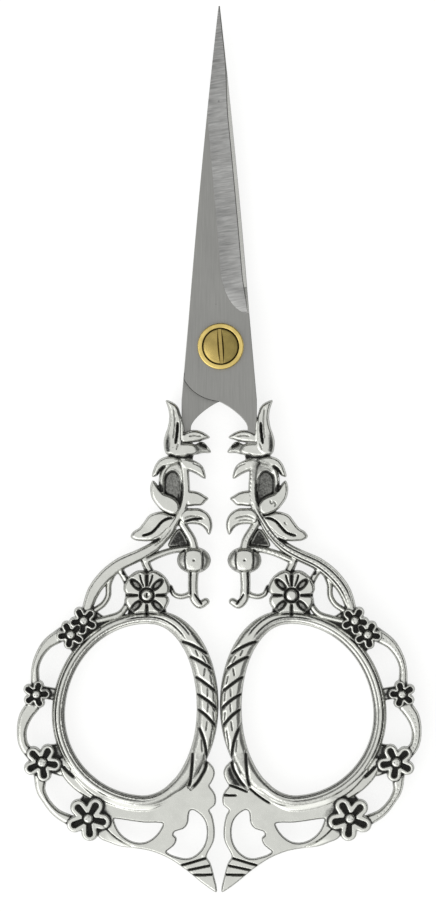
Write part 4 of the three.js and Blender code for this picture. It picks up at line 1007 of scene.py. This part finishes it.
FACTOR, COLOUR_A, COLOUR_B, MIXED = 0, 6, 7, 2  # sockets with which a Mix node mixes colours


def set_inputs(tree, node, inputs):
    """Sets inputs of a node. Each is a number, a colour or another node's output."""
    for socket, value in inputs.items():
        if isinstance(value, bpy.types.NodeSocket):
            tree.links.new(value, node.inputs[socket])
        else:
            node.inputs[socket].default_value = value


def add_node(tree, kind, inputs=None, **settings):
    """Adds a node with its settings and inputs."""
    node = tree.nodes.new(kind)
    for name, value in settings.items():
        setattr(node, name, value)
    set_inputs(tree, node, inputs or {})
    return node


def new_material(name):
    """A material, its node tree and its shader."""
    material = bpy.data.materials.new(name)
    material.use_nodes = True
    return material, material.node_tree, material.node_tree.nodes["Principled BSDF"]


def shade(colour, share=1.0):
    """A colour made darker or paler, for a socket."""
    return (*(min(c * share, 1.0) for c in colour), 1.0)


def antiqued_silver_plate(finish):
    """Silver plate on a zinc casting, dipped to blacken it and buffed: high places are bright and a little
    grainy, and the recesses stay nearly black and dull. The attribute also carries painted shade, which
    blackens like the dip, and painted highlights, which make the silver paler."""
    material, tree, shader = new_material("antiqued_silver_plate")
    place = add_node(tree, "ShaderNodeTexCoord").outputs["Object"]
    patina_and_light = add_node(tree, "ShaderNodeAttribute", attribute_name="patina_and_light").outputs["Fac"]
    # casting grain of about 0.2 mm
    grain = add_node(tree, "ShaderNodeTexNoise", {"Vector": place, "Scale": 1 / (0.2 * MM), "Detail": 3.0})
    # uneven buffing over about 2 mm
    buffed = add_node(tree, "ShaderNodeTexNoise", {"Vector": place, "Scale": 1 / (2 * MM), "Detail": 2.0})
    # the black dip and painted shade, broken up by the grain
    grainy_darkness = add_node(tree, "ShaderNodeMath", {0: grain.outputs["Fac"], 1: 0.5, 2: patina_and_light},
                           operation="MULTIPLY_ADD").outputs[0]
    darken = add_node(tree, "ShaderNodeMapRange", {"Value": grainy_darkness, "From Min": 0.43, "From Max": 1.02})
    bright = add_node(tree, "ShaderNodeMix", {
        FACTOR: buffed.outputs["Fac"], COLOUR_A: shade(finish.silver, 0.88),
        COLOUR_B: shade(finish.silver, 1.1)}, data_type="RGBA")
    # below zero the attribute paints a highlight: the silver turns paler
    painted_highlight = add_node(tree, "ShaderNodeMapRange", {"Value": patina_and_light, "From Min": 0.0, "From Max": -1.0})
    highlighted = add_node(tree, "ShaderNodeMix", {
        FACTOR: painted_highlight.outputs[0], COLOUR_A: bright.outputs[MIXED],
        COLOUR_B: shade(finish.silver, 1.5)}, data_type="RGBA")
    tone = add_node(tree, "ShaderNodeMix", {
        FACTOR: darken.outputs[0], COLOUR_A: highlighted.outputs[MIXED], COLOUR_B: shade(finish.oxide)},
        data_type="RGBA")
    plated = add_node(tree, "ShaderNodeMapRange", {
        "Value": darken.outputs[0], "To Min": 1.0, "To Max": 0.35})
    dull = add_node(tree, "ShaderNodeMapRange", {
        "Value": grainy_darkness, "From Max": 1.5, "To Min": 0.18, "To Max": 0.62})
    # the skin of the casting waves a little, over about 0.8 mm
    skin = add_node(tree, "ShaderNodeTexNoise", {"Vector": place, "Scale": 1 / (0.8 * MM), "Detail": 2.0})
    waves = add_node(tree, "ShaderNodeMath", {0: grain.outputs["Fac"], 1: 0.1, 2: skin.outputs["Fac"]},
                     operation="MULTIPLY_ADD")
    bump = add_node(tree, "ShaderNodeBump", {
        "Height": waves.outputs[0], "Strength": 0.4, "Distance": 0.12 * MM})
    set_inputs(tree, shader, {"Base Color": tone.outputs[MIXED], "Metallic": plated.outputs[0],
                              "Roughness": dull.outputs[0], "Normal": bump.outputs[0]})
    return material


def lined_steel(name, colour, spacing, run, turn, roughness, contrast, ends=()):
    """Carbon steel with the fine lines of the wheel or belt that finished it, and a coarser scratch here
    and there. The lines are finer on the real blade: they are drawn as coarse as the picture needs. Towards
    its ends a bevel may be paler or darker: each end has the heights where that starts and is full, and how
    much it changes."""
    material, tree, shader = new_material(name)
    place = add_node(tree, "ShaderNodeTexCoord").outputs["Object"]
    level = 0.0
    for wider, longer, weight in ((1, 1, 1.0), (3, 12, 0.4)):
        laid = add_node(tree, "ShaderNodeMapping", {
            "Vector": place, "Rotation": (0, 0, turn),
            "Scale": (run * longer * MM, spacing * wider * MM, run * longer * MM)}, vector_type="TEXTURE")
        lines = add_node(tree, "ShaderNodeTexNoise", {
            "Vector": laid.outputs[0], "Scale": 1.0, "Detail": 3.0, "Roughness": 0.6})
        level = add_node(tree, "ShaderNodeMath", {0: lines.outputs["Fac"], 1: weight, 2: level},
                         operation="MULTIPLY_ADD").outputs[0]
    # handling marks over about 5 mm
    smudge = add_node(tree, "ShaderNodeTexNoise", {"Vector": place, "Scale": 1 / (5 * MM), "Detail": 3.0})
    shine = add_node(tree, "ShaderNodeMath", {0: smudge.outputs["Fac"], 1: 0.4, 2: level},
                     operation="MULTIPLY_ADD")
    shine_range = {"Value": shine.outputs[0], "From Min": 0.55, "From Max": 1.25}
    paleness = add_node(tree, "ShaderNodeMapRange", shine_range).outputs[0]
    for start, end, change in ends:
        height = add_node(tree, "ShaderNodeSeparateXYZ", {0: place}).outputs["Y"]
        paler = add_node(tree, "ShaderNodeMapRange", {
            "Value": height, "From Min": start * MM, "From Max": end * MM, "To Min": 0.0, "To Max": change})
        paleness = add_node(tree, "ShaderNodeMath", {0: paleness, 1: paler.outputs[0]},
                            operation="ADD").outputs[0]
    tone = add_node(tree, "ShaderNodeMix", {
        FACTOR: paleness, COLOUR_A: shade(colour, 1 - contrast), COLOUR_B: shade(colour, 1 + contrast)},
        data_type="RGBA")
    # a few rust pits about 0.3 mm across
    pits = add_node(tree, "ShaderNodeTexVoronoi", {"Vector": place, "Scale": 1 / (4 * MM)})
    depth = add_node(tree, "ShaderNodeMapRange", {
        "Value": pits.outputs["Distance"], "From Min": 0.03, "From Max": 0.06})
    pitted = add_node(tree, "ShaderNodeMix", {
        FACTOR: depth.outputs[0], COLOUR_A: shade(colour, 0.45), COLOUR_B: tone.outputs[MIXED]},
        data_type="RGBA")
    worn = add_node(tree, "ShaderNodeMapRange", {
        **shine_range, "To Min": roughness - 0.06, "To Max": roughness + 0.08})
    bump = add_node(tree, "ShaderNodeBump", {"Height": level, "Strength": 0.1, "Distance": 0.03 * MM})
    set_inputs(tree, shader, {"Base Color": pitted.outputs[MIXED], "Metallic": 1.0,
                              "Roughness": worn.outputs[0], "Normal": bump.outputs[0]})
    return material


def turned_brass(name, colour):
    """Turned brass, worn satin: fine rings from the lathe, and darker tarnish in patches."""
    material, tree, shader = new_material(name)
    place = add_node(tree, "ShaderNodeTexCoord").outputs["Object"]
    flat = add_node(tree, "ShaderNodeVectorMath", {0: place, 1: (1, 1, 0)}, operation="MULTIPLY")
    radius = add_node(tree, "ShaderNodeVectorMath", {0: flat.outputs[0]}, operation="LENGTH")
    # lathe rings about 0.12 mm apart
    rings = add_node(tree, "ShaderNodeTexNoise", {
        "W": radius.outputs["Value"], "Scale": 1 / (0.12 * MM), "Detail": 2.0}, noise_dimensions="1D")
    # tarnish in patches of about 1.2 mm
    tarnish = add_node(tree, "ShaderNodeTexNoise", {
        "Vector": place, "Scale": 1 / (1.2 * MM), "Detail": 4.0})
    level = add_node(tree, "ShaderNodeMath", {0: rings.outputs["Fac"], 1: 0.5, 2: tarnish.outputs["Fac"]},
                     operation="MULTIPLY_ADD").outputs[0]
    spread = add_node(tree, "ShaderNodeMapRange", {"Value": level, "From Min": 0.45, "From Max": 1.0})
    tone = add_node(tree, "ShaderNodeMix", {
        FACTOR: spread.outputs[0], COLOUR_A: shade(colour, 0.72), COLOUR_B: shade(colour, 1.1)},
        data_type="RGBA")
    worn = add_node(tree, "ShaderNodeMapRange", {
        "Value": level, "From Min": 0.4, "From Max": 1.1, "To Min": 0.4, "To Max": 0.24})
    bump = add_node(tree, "ShaderNodeBump", {
        "Height": rings.outputs["Fac"], "Strength": 0.15, "Distance": 0.02 * MM})
    set_inputs(tree, shader, {"Base Color": tone.outputs[MIXED], "Metallic": 1.0,
                              "Roughness": worn.outputs[0], "Normal": bump.outputs[0]})
    return material


# Placing

FRONT = Matrix.Translation((-PIVOT_SET_OVER * MM, 0, MID_HEIGHT * MM))
REAR = FRONT @ Matrix.Rotation(math.pi, 4, "Y")


def set_on(obj, body, node):
    """Puts a finished piece in the place of its CAD node."""
    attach(obj, body)
    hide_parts(node)


class SCISSORS_OT_handles(bpy.types.Operator):
    """Cast both handles: flowers, leaves, rope-edged ring and pierced web"""
    bl_idname = "scissors.handles"
    bl_label = "Handles"

    def execute(self, context):
        silver = antiqued_silver_plate(context.scene.scissors_finish)
        rough = new_object("handle_rough", cast_handle(context.scene.scissors_handle), [silver])
        relax = rough.modifiers.new("buff", "SMOOTH")
        relax.factor = 0.5
        relax.iterations = 2
        thin = rough.modifiers.new("thin", "DECIMATE")
        thin.ratio = 0.55
        mesh = shaped_mesh(rough)
        mesh.shade_smooth()
        for name, half, body, node in (("handle_right", FRONT, "front_half", "right_handle"),
                                       ("handle_left", REAR, "rear_half", "left_handle")):
            placed = mesh.copy()
            placed.transform(half)
            set_on(new_object(name, placed, []), body, node)
        return {"FINISHED"}


class SCISSORS_OT_blades(bpy.types.Operator):
    """Forge and grind both blades"""
    bl_idname = "scissors.blades"
    bl_label = "Blades"

    def execute(self, context):
        finish = context.scene.scissors_finish
        steels = [
            lined_steel("brushed_carbon_steel", finish.steel, 0.12, 4.0, math.radians(90), 0.36, 0.13),
            # the ground bevel is painted paler towards the heel, where it lifts out and turns to the light:
            # painted light; it is also darker towards the point
            lined_steel("hollow_ground_steel", finish.ground, 0.24, 2.4, math.radians(10), 0.45, 0.46,
                        ((34, 40, -0.2), (10.5, 8, 0.24))),
            lined_steel("honed_steel", finish.honed, 0.15, 4.0, math.radians(20), 0.25, 0.1),
            lined_steel("step_shade_steel", finish.step_shade, 0.15, 4.0, math.radians(90), 0.5, 0.3),
            lined_steel("heel_shadow_steel", finish.heel, 0.15, 4.0, math.radians(90), 0.5, 0.3),
        ]
        for name, half, pivot_x, body, node in (
                ("blade_front", FRONT, PIVOT_SET_OVER, "front_half", "front_blade"),
                ("blade_rear", REAR, -PIVOT_SET_OVER, "rear_half", "rear_blade")):
            mesh = ground_blade(context.scene.scissors_blade, pivot_x, steels)
            mesh.transform(half)
            set_on(new_object(name, mesh, []), body, node)
        return {"FINISHED"}


class SCISSORS_OT_pivot(bpy.types.Operator):
    """Turn the brass nut, cup washer and slotted screw"""
    bl_idname = "scissors.pivot"
    bl_label = "Pivot"

    def execute(self, context):
        sizes = context.scene.scissors_pivot
        finish = context.scene.scissors_finish
        in_shade = turned_brass("shade_painted_brass", finish.gap_shade)
        handled = [turned_brass("handled_turned_brass", finish.brass), in_shade,
                   turned_brass("shaded_half_brass", finish.tarnish)]
        washer_and_nut_finishes = [turned_brass("turned_brass", finish.flange), in_shade]
        wide, head = sizes.washer_radius / MM, sizes.head_radius / MM
        nut = turned("nut", [
            (CORE, 0.1), (0.12, 0.1), (0.45, 0), *arc((wide - 0.15, 0.15), 0.15, -90, 0),
            *arc((wide - 0.08, 0.68), 0.08, 0, 90), (BARREL_RADIUS, 0.76), (BARREL_RADIUS, BARREL_TOP),
            (BARREL_BORE, BARREL_TOP), (BARREL_BORE, 1.0), (CORE, 1.0)])
        cup = [
            (BARREL_BORE, 3.64), *arc((wide - 0.08, 3.72), 0.08, -90, 0),
            *arc((wide - 0.2, 4.3), 0.2, 0, 90), *arc((head + 0.22, 4.38), 0.12, 90, 180),
            (head + 0.1, CUP_FLOOR), (BARREL_BORE, CUP_FLOOR)]
        # the washer's inner bands round the head are painted dark: painted shade in the gap
        washer = turned("washer", cup, range(len(cup) - 6, len(cup)))
        crown = [(head * (1 - t), CROWN_FOOT + CROWN_RISE * (1 - (1 - t) ** 2))
                 for t in np.linspace(0.09, 0.99, 14)]
        # the screw's bands under its head and round its rim are painted dark: painted shade in the gap
        screw = turned("screw", [
            (CORE, SHANK_FOOT), (SHANK_RADIUS, SHANK_FOOT), (SHANK_RADIUS, HEAD_FOOT), (head, HEAD_FOOT),
            *arc((head - 0.15, 4.22), 0.15, 0, 60), *crown], range(8))
        # the slot has a narrow floor and leaning sides, and the right side is painted dark: painted shade
        # in the slot
        half = sizes.slot_width / 2 / MM
        section = [(-0.6 * half, -0.42), (0.6 * half, -0.42), (1.3 * half, 0.05), (1.3 * half, 0.5),
                   (-1.3 * half, 0.5), (-1.3 * half, 0.05)]
        saw_cut = solid_mesh("slot", [[(x, y, SLOT_LEVEL + z) for y, z in section] for x in (-4.0, 4.0)])
        saw_cut.polygons.foreach_set("material_index", [HANDLED] * 2 + [SHADE_BAND] * 6)
        saw_cut.transform(Matrix.Rotation(sizes.slot_turn, 4, "Z"))
        slot = new_object("slot", saw_cut, handled)
        for name, mesh, body, node in (("pivot_nut", nut, "rear_half", "barrel_nut"),
                                       ("pivot_washer", washer, "washer", "cup_washer"),
                                       ("pivot_head", screw, "screw", "pivot_screw")):
            piece = new_object(name, mesh, handled if mesh is screw else washer_and_nut_finishes)
            if mesh is screw:
                saw = piece.modifiers.new("slot", "BOOLEAN")
                saw.object = slot
                saw.solver = "EXACT"
                mesh = shaped_mesh(piece)
                # the head's half right of the slot takes the darker brass: painted shade
                across, along = math.sin(sizes.slot_turn), math.cos(sizes.slot_turn)
                for face in mesh.polygons:
                    right = face.center.x * across - face.center.y * along
                    if face.material_index == HANDLED and right > half * MM:
                        face.material_index = SHADED_HALF
                piece = new_object(name, mesh, [])
            mesh.shade_smooth()
            mesh.set_sharp_from_angle(angle=math.radians(28))
            set_on(piece, body, node)
        bpy.data.objects.remove(slot)
        return {"FINISHED"}


TABLE_RADIUS = 1.5  # metres
TABLE_LIFT = 0.8  # glow that makes the table's paper as white as in the photograph
WHITE = "#FFFFFF"
ROOM_TOP = (-0.25, -0.25, 0.94)  # direction in which the room is brightest
LAMP_PLACE = (-0.45, -0.45, 0.45)  # metres
PICTURE_HEIGHT, PIXEL = 912, 0.141  # height of the picture in pixels, and millimetres to a pixel
PICTURE_MIDDLE = (-0.37, -15.44)  # pivot to the middle of the picture
CAMERA_DISTANCE = 1.0  # metres


class SCISSORS_OT_stage(bpy.types.Operator):
    """Set the pale table, the soft light and the camera straight above"""
    bl_idname = "scissors.stage"
    bl_label = "Stage"

    def execute(self, context):
        scene = context.scene
        scene.view_settings.view_transform = "Standard"
        table = bpy.data.meshes.new("table")
        turns = np.linspace(0, 2 * np.pi, 65)[:-1]
        rim = [(TABLE_RADIUS * math.cos(a), TABLE_RADIUS * math.sin(a), 0) for a in turns]
        table.from_pydata(rim, [], [tuple(range(len(rim)))])
        paper, tree, shader = new_material("white_paper")
        path = add_node(tree, "ShaderNodeLightPath").outputs
        seen = path["Is Camera Ray"]
        for ray in ("Is Glossy Ray", "Is Transmission Ray"):
            seen = add_node(tree, "ShaderNodeMath", {0: seen, 1: path[ray]}, operation="ADD").outputs[0]
        lift = add_node(tree, "ShaderNodeMath", {0: seen, 1: TABLE_LIFT}, operation="MULTIPLY")
        set_inputs(tree, shader, {
            "Base Color": shade(from_hex("#8A8A88")), "Roughness": 0.9,
            "Emission Color": shade(from_hex(WHITE)), "Emission Strength": lift.outputs[0]})
        new_object("table", table, [paper])

        # the room is white overhead and to the lower left, and dark to the upper right: it draws the edges
        world = bpy.data.worlds.new("soft_room")
        scene.world = world
        world.use_nodes = True
        tree = world.node_tree
        direction = add_node(tree, "ShaderNodeTexCoord").outputs["Generated"]
        up = add_node(tree, "ShaderNodeVectorMath", {0: direction, 1: ROOM_TOP}, operation="DOT_PRODUCT")
        fall = add_node(tree, "ShaderNodeMapRange", {
            "Value": up.outputs["Value"], "From Min": 0.2, "From Max": 0.62, "To Min": 0.06, "To Max": 1.0},
            interpolation_type="SMOOTHSTEP")
        set_inputs(tree, tree.nodes["Background"], {
            "Color": shade(from_hex(WHITE)), "Strength": fall.outputs[0]})

        window = bpy.data.lights.new("window", "AREA")
        window.energy = 2.9
        window.size = 0.9
        lamp = bpy.data.objects.new("window", window)
        scene.collection.objects.link(lamp)
        lamp.location = LAMP_PLACE
        lamp.rotation_euler = (-lamp.location).to_track_quat("-Z", "Y").to_euler()

        lens = bpy.data.cameras.new("camera")
        lens.sensor_width = 36.0
        lens.lens = lens.sensor_width * CAMERA_DISTANCE / (PICTURE_HEIGHT * PIXEL * MM)
        lens.clip_end = 10.0
        camera = bpy.data.objects.new("camera", lens)
        scene.collection.objects.link(camera)
        camera.location = (*(place * MM for place in PICTURE_MIDDLE), CAMERA_DISTANCE + MID_HEIGHT * MM)
        scene.camera = camera
        return {"FINISHED"}


STEPS = (SCISSORS_OT_handles, SCISSORS_OT_blades, SCISSORS_OT_pivot, SCISSORS_OT_stage)
SETTINGS = (("scissors_handle", HandleSettings), ("scissors_blade", BladeSettings),
            ("scissors_pivot", PivotSettings), ("scissors_finish", FinishSettings))


class SCISSORS_PT_sidebar(bpy.types.Panel):
    """Sizes, colours and steps of the scissors"""
    bl_idname = "SCISSORS_PT_sidebar"
    bl_label = "Embroidery Scissors"
    bl_space_type = "VIEW_3D"
    bl_region_type = "UI"
    bl_category = "Scissors"

    def draw(self, context):
        for step in STEPS:
            self.layout.operator(step.bl_idname)
        for name, group in SETTINGS:
            box = self.layout.box()
            for prop in group.__annotations__:
                box.prop(getattr(context.scene, name), prop)


def register():
    for _, group in SETTINGS:
        bpy.utils.register_class(group)
    for name, group in SETTINGS:
        setattr(bpy.types.Scene, name, PointerProperty(type=group))
    for cls in (*STEPS, SCISSORS_PT_sidebar):
        bpy.utils.register_class(cls)


def unregister():
    for cls in (SCISSORS_PT_sidebar, *reversed(STEPS)):
        bpy.utils.unregister_class(cls)
    for name, group in reversed(SETTINGS):
        delattr(bpy.types.Scene, name)
        bpy.utils.unregister_class(group)


def main():
    register()
    bpy.ops.scissors.handles()
    bpy.ops.scissors.blades()
    bpy.ops.scissors.pivot()
    bpy.ops.scissors.stage()


if __name__ == "__main__":
    main()
